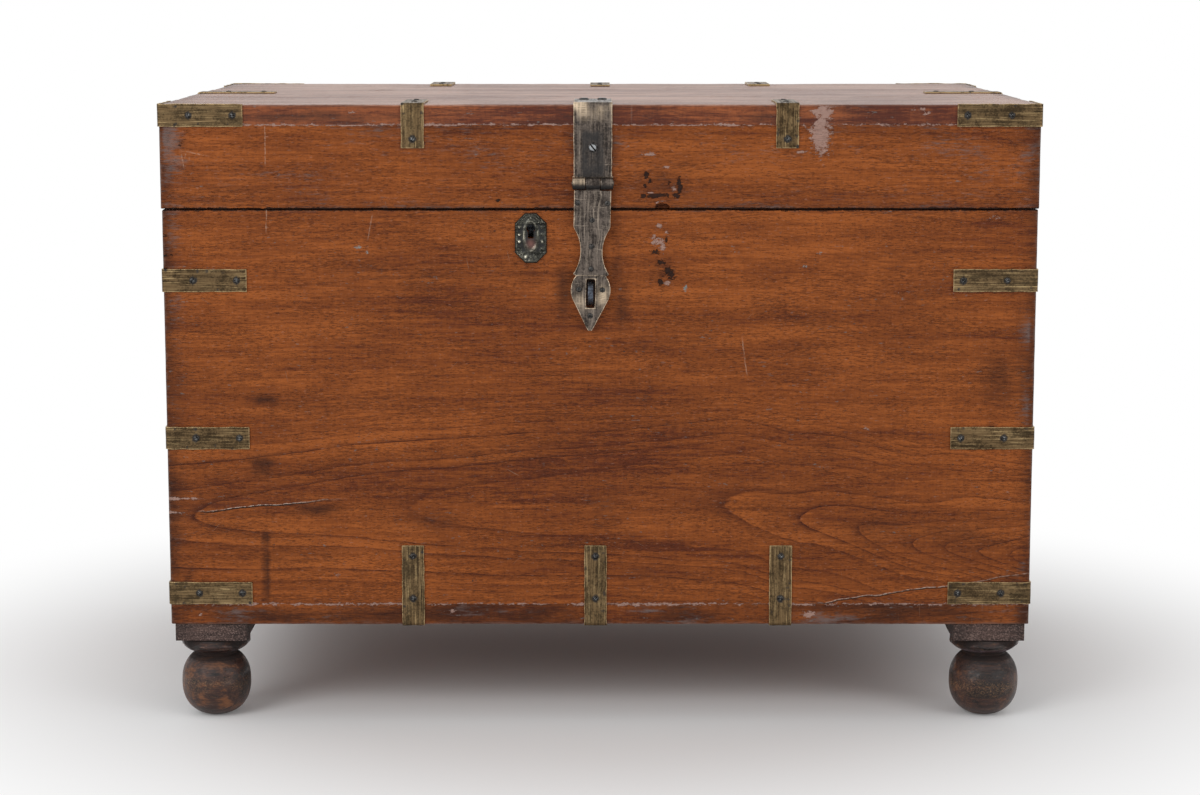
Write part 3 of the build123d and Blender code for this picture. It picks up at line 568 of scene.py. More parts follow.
def scores(places, *lines):
    """Scores that a nail or a buckle left, listed: each (x, z, x2, z2, strength) in millimetres runs from (x,
    z) down to (x2, z2). Gives the signed distance to the nearest line, and its strength there."""
    best, signed = np.full((2, len(places)), far_off)
    strength = np.zeros(len(places))
    for x, z, x_end, z_end, power in lines:
        length = np.hypot(x_end - x, z_end - z) * MM
        ahead = np.array([x_end - x, z_end - z]) * MM / length
        right, up = places[:, 0] - x * MM, places[:, 2] - z * MM
        side, place = right * ahead[1] - up * ahead[0], right * ahead[0] + up * ahead[1]
        beyond = np.maximum(np.maximum(-place, place - length), 0)
        nearer = np.hypot(side, beyond) < best
        best = np.where(nearer, np.hypot(side, beyond), best)
        signed = np.where(nearer, side, signed)
        reach = ease(beyond, 5 * MM, 0) * ease(abs(side), 14 * MM, 8 * MM) * power
        strength = np.where(nearer, reach, strength)
    return dict(score=signed, scored=strength)


def between(value, *marks):
    """A smooth line through (mark, level) pairs in millimetres, eased from each to the next."""
    at, levels = np.array(marks, float).T * MM
    place = np.clip(np.searchsorted(at, value) - 1, 0, len(at) - 2)
    share = np.clip((value - at[place]) / (at[place + 1] - at[place]), 0, 1)
    return levels[place] + (levels[place + 1] - levels[place]) * share * share * (3 - 2 * share)


def corners_of(node):
    """A node's lowest and highest corner."""
    return [np.array(corner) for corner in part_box(node)]


front_low, front_high = corners_of("front_board")
wall = front_high[1] - front_low[1]
socket_tip = corners_of("left_side_board")[0][1]
joint_gap = 0.18 * MM


def sockets(node, inner, tip):
    """Cutters for the sockets of the tails, at both ends of a front or back board."""
    low, high = corners_of(node)
    outlines = dovetails(inner, tip, low[2], high[2], joint_gap)
    left = prisms(0, low[0] - MM, low[0] + wall + joint_gap, outlines)
    return [left, prisms(0, high[0] - wall - joint_gap, high[0] + MM, outlines)]


def tail_gaps(node, inner, tip):
    """Cutters for the gaps between the tails, at both ends of a side board."""
    low, high = corners_of(node)
    front = dovetails(inner, tip, low[2], high[2], joint_gap, gaps=True)
    rear = [[(-y, z) for y, z in outline] for outline in front]
    return [prisms(0, low[0] - MM, high[0] + MM, outlines) for outlines in (front, rear)]


def sawn(node, step, rounding, seed, cutters=(), **details):
    """A board of its node's size, less what the cutters take: the piece, its corners and its vertices."""
    low, high = corners_of(node)
    board = new_piece(f"{node}_wood", *plank(low, high, step, rounding, seed, **details))
    if cutters:
        cut_away(board, *cutters)
    return board, low, high, points_of(board)


# The front board: its keyhole, where its rings open, the patches of its old lock, its stains and its two
# splits.
keyhole_x, keyhole_z, keyhole_r, keyway_half, keyway_reach = (v * MM for v in (-74.9, 549.4, 4.6, 3.0, 10.5))
turns = np.radians(np.linspace(-49, 229, 15))
keyhole = np.column_stack([keyhole_r * np.cos(turns), keyhole_r * np.sin(turns)])
keyhole = np.concatenate([keyhole, [(-keyway_half, -keyway_reach), (keyway_half, -keyway_reach)]])
keyhole += (keyhole_x, keyhole_z)
fine_across = ((44 * MM, 96 * MM, 1.3 * MM),)
fine_up = (134.2 * MM, 140 * MM, 1.2 * MM), (484 * MM, 566 * MM, 1.3 * MM), (228 * MM, 258 * MM, 2.2 * MM)
cutters = sockets("front_board", front_high[1], socket_tip)
cutters.append(prisms(1, front_low[1] - MM, front_high[1] + MM, [keyhole]))
board, low, high, spot = sawn(
    "front_board", 4.6 * MM, arris, 11, cutters, square=((2, 0),), dense=(fine_across, (), fine_up)
)
fields = board_fields(spot, low, high, 0, 2, 1, 1, 3, seams=((2, 1),), joints=((2, 0),))
x, y, z = spot.T
ring_axis = between(x, (-450, 234), (-217, 245), (-43, 246), (139, 250), (229, 232), (364, 203), (475, 190))
near = np.array([0, 4, 9, 13, 18, 24, 29, 33.5, 37.6, 43.6, 49.3, 55.8, 76.2, 87, 91.8, 105, 113.8]) * MM
gnarl = 1 + 1.6 * ease(x, 0.28, 0.40)
radii = ring_radii(21, near, 8 * MM)
fields["ring"] = rings_of(x, z - ring_axis, y - low[1], 0.545, 7.63 * MM, radii, 5, gnarl)
fields["figure"] = 0.30 + 0.70 * ease(abs(z - ring_axis), 0.15, 0.05) + 0.25 * rough(spot, 0.12, 4)
# Grime dabs are stains and soiling; the four beside and below the hasp's leaf (x -40 to 24, z 438 to 520) are
# partly a stain and partly the hasp's painted shadow.
dab(fields, "grime", spot, [
    (-365, 362, 16, 6, 0.9), (-350, 334, 14, 4, 0.5), (-370, 289, 14, 12, 0.8), (-368, 165, 3, 42, 1.0),
    (-368, 208, 5, 8, 0.8), (19, 520, 8, 48, 0.6), (24, 466, 10, 34, 0.6), (-40, 480, 9, 40, 0.6),
    (-12, 438, 22, 12, 0.35), (435, 385, 26, 42, 0.5), (462, 420, 14, 90, 0.5), (-462, 330, 12, 120, 0.45),
    (68, 505, 16, 22, 0.5), (300, 215, 60, 24, 0.35), (410, 210, 60, 30, 0.5), (-311, 240, 26, 7, 0.9),
    (-455, 160, 12, 26, 0.6), (455, 150, 16, 20, 0.6), (-200, 480, 4, 30, 0.3), (0, 148, 500, 10, 0.25),
    (-75, 520, 26, 34, 0.35), (428, 328, 5, 9, 0.9),
])
dab(fields, "filler", spot, [
    (63, 535, 7, 4, 0.9), (68, 528, 4, 5, 0.7), (58, 541, 3, 2.5, 0.8), (73, 490, 5, 3, 0.8),
    (65, 552, 4, 4, 0.6), (71, 545, 3, 3, 0.6), (-470, 252, 12, 1.6, 0.9), (-448, 252, 10, 1.2, 0.7),
    (-472, 237, 11, 1.6, 0.9), (-458, 237.5, 6, 1.2, 0.7), (432, 561, 8, 2.6, 0.6), (290, 331, 3, 1.6, 0.8),
    (-290, 166, 3, 2, 0.7), (38, 279, 3, 2, 0.6), (222, 508, 4, 1.6, 0.7), (322, 480, 3, 3, 0.6),
])
# The first pit dab is painted shade behind the hasp's slot; the rest are pits and holes in the wood.
dab(fields, "pit", spot, [
    (-10, 479, 7, 17, 1.2), (67, 513, 4, 3, 0.95), (74, 504, 5, 5, 0.9), (66, 491, 3, 5, 0.9),
    (76, 498, 4, 4, 0.7), (60, 524, 5, 2.4, 0.8), (72, 537, 1.6, 5, 0.7), (-478, 540, 9, 1.8, 0.7),
    (-470, 520, 6, 1.5, 0.7), (-474, 505, 8, 1.5, 0.6), (-470, 455, 8, 1.5, 0.6),
])
dab(fields, "verdigris", spot, [
    (-262, 529, 3.2, 2.2, 0.8), (-253, 524, 2.4, 1.8, 0.7), (149, 524, 2.4, 2.2, 0.8),
    (239, 523, 2.6, 2.2, 0.8), (93, 485, 2.6, 3.2, 0.8), (222, 508, 3, 1.8, 0.7), (-455, 300, 3, 2, 0.6),
    (330, 470, 3, 2, 0.55),
])
nail_marks = (-361, 568, -361.5, 548, 0.5), (-247, 561, -251, 540, 0.35), (155, 428, 160, 393, 0.45)
fields |= scores(spot, *nail_marks)
left_split = between(x, (-480, 236), (-439, 237), (-360, 245), (-280, 251), (-200, 256))
right_split = between(x, (200, 130), (238, 134), (300, 143), (365, 152), (475, 167))
left_open = ease(x, -0.445, -0.43) * ease(x, -0.27, -0.35)
right_open = ease(x, 0.23, 0.26) * (1 - 0.5 * ease(x, 0.36, 0.46)) * 0.8
fields["crack"] = np.clip(z - np.where(x < 0, left_split, right_split), -far_off, far_off)
fields["cracked"] = np.where(x < 0, left_open, right_open)
finish(board, fields, oiled_teak, "carcass", "front_board")

# The back board, plain, with its own rings.
cutters = sockets("back_board", -front_high[1], -socket_tip)
board, low, high, spot = sawn("back_board", 5 * MM, arris, 12, cutters, square=((2, 0),))
fields = board_fields(spot, low, high, 0, 2, 1, -1, 4, seams=((2, 1),), joints=((2, 0),))
x, y, z = spot.T
fields["ring"] = rings_of(-x, z - 0.41, high[1] - y, 0.62, 8.2 * MM, ring_radii(22), 6)
fields["figure"] = 0.45 + 0.35 * rough(spot, 0.15, 8)
finish(board, fields, oiled_teak, "carcass", "back_board")

# The two sides, with tails at both ends.
for side, sign in (("left", -1), ("right", 1)):
    node = f"{side}_side_board"
    cutters = tail_gaps(node, front_high[1], socket_tip)
    board, low, high, spot = sawn(node, 5 * MM, arris, 14 + sign, cutters)
    fields = board_fields(spot, low, high, 1, 2, 0, -sign, 7 + sign, seams=((2, 1),))
    x, y, z = spot.T
    depth = high[0] - x if sign > 0 else x - low[0]
    radii = ring_radii(30 + sign)
    fields["ring"] = rings_of(-sign * y, z - 0.30 - 0.05 * sign, depth, 0.5, 6.5 * MM, radii, 9 + sign)
    fields["figure"] = 0.5 + 0.4 * rough(spot, 0.15, 18 + sign)
    fields["grime"] = np.maximum(fields["grime"], ease(abs(abs(y) - 0.29), 0.03, 0.0) * 0.6)
    finish(board, fields, oiled_teak, "carcass", node)

# The three bottom planks, whose front edge shows under the front board. Raw wood stops short of the walls.
for index, name in enumerate(("front", "middle", "rear")):
    node = f"bottom_board_{name}"
    rounding = (arris, 1 * MM, arris)[index]
    board, low, high, spot = sawn(node, 5 * MM, rounding, 40 + index, square=((2, 1),))
    fields = board_fields(spot, low, high, 0, 1, 2, 1, 50 + index, joints=((2, 1),))
    x, y, z = spot.T
    radii = ring_radii(51 + index)
    fields["ring"] = rings_of(x * (-1) ** index, y - low[1] - 0.1, z - low[2], 0.6, 7 * MM, radii, 52 + index)
    edge = ease(y - low[1], 3 * MM, 1 * MM) * (index == 0)
    soiled = edge * (0.15 + 0.35 * rough(spot, (0.09, 0.02, 0.02), 58))
    dusted = edge * (0.15 + 0.4 * rough(spot, (0.05, 0.02, 0.006), 57))
    fields["grime"] = np.maximum(fields["grime"], 0.35 + soiled)
    fields["dust"] = np.maximum(0.6 * fields["dust"], dusted)
    fields["figure"] = 0.5 + 0.3 * edge
    fields["inside"] *= ease(abs(front_low[1]) - abs(y), 0.5 * wall, 0.8 * wall)
    fields["filler"] *= 1 - fields["inside"]
    marks = [(-440.7, 123, 2, 2, 1), (-160, 125, 8, 1.6, 0.8), (232, 122, 7, 4, 0.9)]
    dab(fields, "filler", spot, marks, edge)
    finish(board, fields, oiled_teak, "carcass", node)


# Lid: four rails dovetailed like the carcass, with three planks laid across their top edges and pinned down.
# Their dusty upper faces have lost most of their oil, and their pale colour there is partly a painted sheen;
# the front rail bears the scars of an older lock.

lid_low, lid_high = corners_of("lid_front_rail")
rail_tip = corners_of("lid_left_rail")[0][1]
notch = np.array([
    (61.0, 569.0), (74.5, 569.0), (75.5, 573.5), (72.0, 576.6), (66.0, 577.2), (60.5, 575.8), (59.5, 572.5),
]) * MM
fine_across = ((44 * MM, 100 * MM, 1.2 * MM),)
fine_up = (580 * MM, 640 * MM, 1.6 * MM), (656 * MM, 661.2 * MM, 1.2 * MM)
cutters = sockets("lid_front_rail", lid_high[1], rail_tip)
cutters.append(prisms(1, lid_low[1] - MM, lid_low[1] + 9 * MM, [notch]))
rail, low, high, spot = sawn(
    "lid_front_rail", 4 * MM, arris, 61, cutters, square=((2, 1),), dense=(fine_across, (), fine_up)
)
fields = board_fields(spot, low, high, 0, 2, 1, 1, 62, seams=((2, 0),), joints=((2, 1),))
x, y, z = spot.T
radii = ring_radii(63, widest=6 * MM)
fields["ring"] = rings_of(-x, z - 0.50, y - low[1], 0.9, 5 * MM, radii, 64, 0.6)
fields["figure"] = 0.32 + 0.2 * rough(spot, 0.12, 65)
dab(fields, "grime", spot, [
    (70, 600, 34, 26, 0.55), (14, 630, 8, 40, 0.5), (-30, 640, 8, 40, 0.4), (-110, 580, 3, 2, 1.0),
    (-451, 641, 10, 8, 0.6), (-470, 600, 10, 40, 0.6), (470, 600, 10, 40, 0.6), (0, 573, 500, 4, 0.5),
    (-390, 590, 40, 6, 0.4), (452, 640, 20, 12, 0.4),
])
dab(fields, "filler", spot, [
    (238, 645, 9, 16, 1.0), (236, 656, 12, 7, 0.9), (54, 630, 8, 2.2, 0.8), (72, 616, 4, 2.4, 0.8),
    (55, 588, 4, 1, 0.7), (80, 592, 3.6, 3, 0.8), (218, 632, 10, 1.2, 0.8), (-190, 634, 6, 2, 0.5),
    (61, 577.5, 3, 1.2, 0.7), (66, 579, 5, 1, 0.7),
])
dab(fields, "pit", spot, [
    (50, 608, 2.4, 4, 0.95), (54, 601, 2.4, 3, 0.9), (49, 596, 1.5, 2.5, 0.8), (85, 600, 2.2, 5, 1.0),
    (86, 592, 2.6, 5, 1.0), (82, 585, 4, 2.4, 1.0), (62, 585, 15, 2.2, 0.9), (48, 585, 4, 2.4, 0.9),
    (74, 597, 2, 3, 0.7), (-110, 580.3, 1.4, 1.2, 1.0), (-451, 640.5, 2.6, 2, 0.9),
])
fields["dust"] += 0.2
fields |= scores(spot, (-361, 657, -361, 621, 0.5), (-448, 633, -428, 629, 0.45), (-452, 632, -449, 618, 0.4))
finish(rail, fields, oiled_teak, "lid", "lid_front_rail")

cutters = sockets("lid_back_rail", -lid_high[1], -rail_tip)
rail, low, high, spot = sawn("lid_back_rail", 5 * MM, arris, 68, cutters, square=((2, 1),))
fields = board_fields(spot, low, high, 0, 2, 1, -1, 69, seams=((2, 0),), joints=((2, 1),))
x, y, z = spot.T
fields["ring"] = rings_of(x, z - 0.66, high[1] - y, 0.8, 5 * MM, ring_radii(70), 71)
finish(rail, fields, oiled_teak, "lid", "lid_back_rail")

for side, sign in (("left", -1), ("right", 1)):
    node = f"lid_{side}_rail"
    cutters = tail_gaps(node, lid_high[1], rail_tip)
    rail, low, high, spot = sawn(node, 5 * MM, arris, 74 + sign, cutters, square=((2, 1),))
    fields = board_fields(spot, low, high, 1, 2, 0, -sign, 76 + sign, seams=((2, 0),), joints=((2, 1),))
    x, y, z = spot.T
    depth = high[0] - x if sign > 0 else x - low[0]
    fields["ring"] = rings_of(sign * y, z - 0.52, depth, 0.7, 6 * MM, ring_radii(78 + sign), 79)
    finish(rail, fields, oiled_teak, "lid", node)


def lid_board_material():
    """The teak of the lid's planks: as the rest, but bare of oil and dusty on its upper face, with grey rings
    showing through and the pale bloom of old wax; the pale colour of that face is partly a painted sheen."""
    material, w = new_material("dusty_teak_with_sheen")
    place, wood, used = wood_layers(w, 0.2)
    tone = wood["Tone"] * 0.7 + used["Blotch"] * 0.3
    top = w.field("top")
    oiled = w.mix(w.step(tone, 0.43, 0.55), "53210f", "97532c")
    # The upper face's pale pinkish colours: partly bare, dusty wood, partly a painted sheen.
    dry_and_sheen = w.mix(w.step(tone, 0.43, 0.56), "8b6252", "c6a08e")
    colour = w.mix(top * 0.85, oiled, dry_and_sheen)
    colour = w.mix(wood["Line"] * 0.85, colour, w.mix(top, "451809", "5c382c"))
    colour = w.mix(wood["Pore"] * 0.45, colour, w.mix(top, "37150a", "5a3c30"))
    colour = bare_wood(w, colour, place, w.mix(w.step(tone, 0.38, 0.60), "6f5138", "94704d"))
    colour, putty, _ = aged(w, colour, place, used, "8a7670", "b09a8c")
    roughness = w.step(used["Haze"], 0.0, 1.0, 0.44, 0.62) - top * 0.06
    height = wood["Tone"] * 0.7 - wood["Pore"] * 0.4 - wood["Line"] * 0.4
    height = height - used["Scratch"] * 0.5 + putty * 0.5
    plug(w, colour, roughness, height, 0.4 * MM, gloss=0.27)
    return material


dusty_teak_with_sheen = lid_board_material()
for index, name in enumerate(("front", "middle", "rear")):
    node = f"lid_board_{name}"
    rounding = (arris, 1 * MM, arris)[index]
    board, low, high, spot = sawn(node, 4 * MM, rounding, 80 + index, dents=0.5 * MM, square=((2, 0),))
    fields = board_fields(spot, low, high, 0, 1, 2, -1, 84 + index, joints=((2, 0),))
    x, y, z = spot.T
    radii = ring_radii(86 + index)
    along, across, depth = x * (-1) ** index, y - low[1] - 0.09, high[2] - z
    fields["ring"] = rings_of(along, across, depth, 0.7, 7 * MM, radii, 87 + index)
    fields["figure"] = 0.7 + 0.3 * rough(spot, 0.1, 88)
    on_rails = np.minimum(lid_high[0] - abs(x), abs(lid_low[1]) - abs(y))
    fields["inside"] *= ease(on_rails, 0.5 * wall, 0.8 * wall)
    fields["filler"] *= 1 - fields["inside"]
    fields["top"] = ease(high[2] - z, 2.2 * MM, 0.6 * MM)
    edge = ease(y - low[1], 3 * MM, 1 * MM) * (index == 0)
    soiled = edge * (0.2 + 0.4 * rough(spot, (0.06, 1, 0.01), 89))
    fields["grime"] = np.maximum(fields["grime"] * 0.8, soiled)
    fields["worn"] *= 1 - 0.6 * edge
    dab(fields, "filler", spot, [
        (240, 675, 10, 7, 1.0), (238, 664, 8, 6, 0.9), (346, 678, 6, 2.6, 0.9), (352, 674, 3, 2, 0.8),
        (-268, 675, 4, 1.6, 0.6),
    ], edge)
    finish(board, fields, dusty_teak_with_sheen, "lid", node, slot="oiled_teak")


# Feet: a ball with a neck and a broad collar, turned in one piece from dark hardwood, its spigot let into the
# bottom through a square sawn block. The balls are polished by handling; the blocks never were.


def block_material():
    """Rough sawn block: grey-brown, with pale dust in its saw marks."""
    material, w = new_material("rough_block")
    place, wood, used = wood_layers(w, 0.6)
    colour = w.mix(w.step(wood["Tone"], 0.40, 0.60), "382a27", "665049")
    colour = w.mix(wood["Line"] * 0.6, colour, "2c1f1c")
    colour = w.mix(used["Dirt"] * 0.7, colour, "1f1614")
    saw = w.noise(place, (60, 900, 900), 3, 0.7)
    grit = w.noise(place, (520, 640, 640), 4, 0.8)
    pale = w.step(grit + saw * 0.2, 0.60, 0.76)
    colour = w.mix(pale * 0.55, colour, "a58c83")
    colour = w.mix(w.step(grit, 0.50, 0.36) * 0.65, colour, "1c1413")
    height = saw * 0.7 + grit * 1.2
    plug(w, colour, w.step(pale, 0.0, 1.0, 0.62, 0.85), height, 0.7 * MM, gloss=0.25)
    return material


def turned_material():
    """Dark polished hardwood: brown with warm streaks along the grain, rings scored by the lathe round the
    axis (the field turn holds the height), and chips. Its polished skin crackles pale where worn is high.
    Dirt and the painted shade under its collar and block darken it, and its grey dust haze has a violet tint
    that is a painted reflection of sheen."""
    material, w = new_material("turned_hardwood")
    place = w.field("grain", "Vector")
    used = w.group(wear, Place=place, Grime=w.field("grime"), Dust=w.field("dust"), Amount=0.8)
    streak = w.noise(place, (16, 130, 130), 5, 0.68, 0.5)
    broad = w.noise(place, 30, 3, 0.6, 0.4, stretch=(0.6, 1, 1))
    tone = streak * 0.5 + broad * 0.5
    colour = w.mix(w.step(tone, 0.42, 0.51), "170d0b", "38221c")
    colour = w.mix(w.step(tone, 0.51, 0.63), colour, "74482b")
    fibre = w.noise(place, (30, 560, 560), 4, 0.75)
    colour = w.mix(w.step(fibre, 0.53, 0.66) * 0.3, colour, "8c6040")
    colour = w.mix(w.step(fibre, 0.47, 0.36) * 0.5, colour, "140a08")
    crackle = w.step(w.noise(place, (520, 520, 900), 3, 0.8), 0.50, 0.64)
    colour = w.mix(crackle * w.field("worn"), colour, "a57e58")
    pores = w.step(w.noise(place, (120, 900, 900), 2, 0.6), 0.60, 0.70)
    colour = w.mix(pores * 0.55, colour, "1a0d0a")
    turn = w.add("CombineXYZ", {"Z": w.field("turn")})
    scored = w.noise(turn, (1, 1, 620), 3, 0.7)
    score = w.step(scored, 0.62, 0.72)
    colour = w.mix(score * 0.35, colour, "1f0f0b")
    # Dirt, and painted shade in the hollows and under the block.
    colour = w.mix(used["Dirt"] * 0.8, colour, "170c09")
    # Grey dust haze; its violet tint is a painted reflection of sheen.
    colour = w.mix(used["Haze"] * 0.5, colour, "75646a")
    colour = w.mix(used["Scratch"] * 0.7, colour, "b7a79d")
    chip = w.step(w.noise(place, 140, 3, 0.7), 0.70, 0.76)
    colour = w.mix(chip * 0.8, colour, "9b7a68")
    roughness = w.step(broad, 0.3, 0.7, 0.26, 0.46) + used["Dirt"] * 0.5
    height = streak * 0.5 - score * 0.35
    height = height - (pores + chip) * 0.5
    plug(w, colour, roughness, height, 0.45 * MM, gloss=0.42)
    return material


rough_block = block_material()
turned_hardwood = turned_material()


def arc_points(centre, radius, start, stop, count):
    """Points (r, z) on a circle's arc, from one angle above the horizontal to another, in degrees."""
    turn = np.radians(np.linspace(start, stop, count))
    return np.column_stack([centre[0] + radius * np.cos(turn), centre[1] + radius * np.sin(turn)])


def bun_points(centre, radius, start, stop, count, power=2.35):
    """Points (r, z) on a squarish ball, |r / R|^p + |z / R|^p = 1, from one height to another: with a in even
    steps, z = R sin a above the centre and r = R (1 - |sin a|^p)^(1/p)."""
    first, last = np.arcsin((start - centre) / radius), np.arcsin((stop - centre) / radius)
    rise = np.sin(np.linspace(first, last, count))
    return np.column_stack([radius * (1 - np.abs(rise) ** power) ** (1 / power), centre + radius * rise])


def revolved(profile, around, sides):
    """A closed turned shape: each (r, z) point of the profile swept round the vertical axis, to r cos t and
    r sin t. The profile starts and ends on the axis, where each end is one point."""
    turn = np.linspace(0, 2 * pi, sides, endpoint=False)
    inner = profile[1:-1]
    radius, height = inner[:, :1], np.repeat(inner[:, 1:], sides, 1)
    ring = np.stack([around[0] + radius * np.cos(turn), around[1] + radius * np.sin(turn), height], axis=-1)
    ring = ring.reshape(-1, 3)
    poles = [[around[0], around[1], profile[0, 1]], [around[0], around[1], profile[-1, 1]]]
    row = np.arange(len(inner) - 1)[:, None] * sides
    step = np.arange(sides)
    after = (step + 1) % sides
    quads = np.stack([row + step, row + after, row + after + sides, row + step + sides], axis=-1)
    quads = quads.reshape(-1, 4)
    last = (len(inner) - 1) * sides
    bottom = np.column_stack([after, step, np.full(sides, len(ring))])
    top = np.column_stack([last + step, last + after, np.full(sides, len(ring) + 1)])
    return np.concatenate([ring, poles]), [*quads, *bottom, *top]


ball_r, ball_z, neck_r, collar_r, lip_r, fillet_r = (v * MM for v in (38.6, 38.0, 23.5, 38.8, 2.6, 2.2))
ball_top, groove_z, low_lip_z, high_lip_z = (v * MM for v in (68.9, 70.9, 82.8, 88.4))
flare = np.linspace(24.2, 36.6, 11) * MM + fillet_r * np.sin(np.linspace(0, pi, 11)) ** 0.8
profile = np.concatenate([
    [(0, 0), (3 * MM, 0)],
    bun_points(ball_z, ball_r, 0, ball_top, 46),
    arc_points((neck_r + fillet_r, groove_z), fillet_r, 215, 145, 7),
    np.column_stack([flare, np.linspace(72.8, 80.4, 11) * MM]),
    arc_points((collar_r - lip_r, low_lip_z), lip_r, -40, 25, 7),
    arc_points((collar_r - lip_r, high_lip_z), lip_r, -15, 90, 8),
    np.array([(30, 91), (10, 91), (9.9, 92), (9.9, 102), (8, 103), (0, 103)]) * MM,
])
for end, y_sign in (("front", -1), ("rear", 1)):
    for side, x_sign in (("left", -1), ("right", 1)):
        name = f"{end}_{side}"
        seed = 100 + 10 * (y_sign + 1) + (x_sign + 1)
        node = f"foot_block_{name}"
        block, low, high, spot = sawn(node, 2.5 * MM, 1.6 * MM, seed, wear=0.7, dents=0.7 * MM)
        fields = board_fields(spot, low, high, 0, 2, 1, 0, seed)
        x, y, z = spot.T
        radii = ring_radii(seed, widest=5 * MM)
        fields["ring"] = rings_of(x - low[0], z - low[2], y, 0.4, 4 * MM, radii, seed)
        fields["grime"] += 0.25
        finish(block, fields, rough_block, "carcass", node, slot="rough_block_wood")

        node = f"ball_foot_{name}"
        ball_low, ball_high = corners_of(node)
        centre = (ball_low[:2] + ball_high[:2]) / 2
        places, faces = revolved(profile, centre, 112)
        away = places - (*centre, 0)
        reach = np.hypot(away[:, 0], away[:, 1])
        dents = np.clip(rough(places, 16 * MM, seed + 40) - 0.45, 0, 1) * 1.5 * MM
        dents += 0.35 * MM * (1 + rough(places, 50 * MM, seed + 41)) / 2
        lip = np.clip(rough(places, 12 * MM, seed + 42), 0, 1) * 1.4 * MM
        lip = lip * ease(reach, 34 * MM, 38 * MM) * ease(places[:, 2], 76 * MM, 80 * MM)
        shrink = 1 - (dents + lip) * ease(reach, 12 * MM, 20 * MM) / np.maximum(reach, 5 * MM)
        places[:, :2] = centre + away[:, :2] * shrink[:, None]
        foot = new_piece(f"{node}_wood", places, faces)
        spot = points_of(foot)
        level = spot[:, 2]
        # Painted shade: the neck groove, the crease between the collar's two lips and the band just under the
        # block are darkened, and block_shadow paints the block's cast shadow on the collar, which leaves a
        # lit lens at its front. All go into the grime field.
        shade_in_hollows = 1.6 * np.exp(-(((level - 70.5 * MM) / (4.5 * MM)) ** 4))
        shade_in_hollows = shade_in_hollows + 0.8 * np.exp(-(((level - 85.5 * MM) / (1.8 * MM)) ** 2))
        shade_in_hollows += 1.2 * ease(level, 89 * MM, 90.6 * MM)
        inset = np.minimum(spot - low, high - spot)[:, :2].min(axis=1)
        block_shadow = ease(inset - 0.95 * (low[2] - level), -2.5 * MM, 2.5 * MM)
        shade_in_hollows += 1.5 * block_shadow * ease(level, 72 * MM, 75 * MM)
        shoulder = 0.35 * ease(level, 42 * MM, 56 * MM) * ease(level, 72 * MM, 66 * MM)
        waist = np.exp(-(((level - 37 * MM) / (9 * MM)) ** 2))
        crackled = np.clip(0.5 + rough(spot, (30 * MM, 30 * MM, 9 * MM), seed + 44), 0, 1)
        ledge = 0.5 * np.exp(-(((level - 77 * MM) / (3 * MM)) ** 2))
        fields = dict(
            grain=spot + np.random.default_rng(seed).uniform(-9, 9, 3),
            turn=level,
            grime=0.7 * shade_in_hollows + 0.5 * ease(level, 14 * MM, 0) + 0.1 + shoulder,
            worn=0.6 * waist * crackled,
            dust=ledge + 0.3 * np.clip(rough(spot, 30 * MM, seed + 43), 0, 1),
        )
        finish(foot, fields, turned_hardwood, "carcass", node)


# Brass strip: 25 mm wide, snipped, hammered flat, folded over the corners and edges and screwed down. It
# has browned all over; only rims and high spots are rubbed bright, and dirt sits round every screw.


def patina_group():
    """Metal gone brown. Tarnish is cloudy, Rubbed bright where the painted rim and fine noise agree, Brush
    thin lines along the first axis of Place, and Crust dark dirt round the screws and in hollows, and painted
    shade on the undersides of knuckles, as Halo gives."""
    w, given = new_group("patina", Place=None, Rim=0.0, Halo=0.0, Cross=0.0)
    place = given["Place"]
    cloud = w.noise(place, 70, 5, 0.65, 0.5)
    fine = w.noise(place, 520, 3, 0.7)
    along = w.noise(place, (24, 760, 300), 4, 0.7)
    across = w.noise(place, (760, 34, 300), 4, 0.7)
    brush = w.most(along, across * given["Cross"])
    wide = w.noise(place, (11, 300, 160), 3, 0.7)
    mottle = cloud * 0.38 + wide * 0.34
    tarnish = w.step(mottle + fine * 0.28, 0.42, 0.57)
    edge = fine * 0.4 + cloud * 0.45
    rubbed = w.step(given["Rim"] * 0.42 + edge, 0.66, 0.92)
    crust = w.step(given["Halo"] * 0.62 + cloud * 0.6, 0.52, 0.84)
    return end_group(w, Tarnish=tarnish, Rubbed=rubbed, Brush=brush, Crust=crust, Grit=fine)


patina = patina_group()


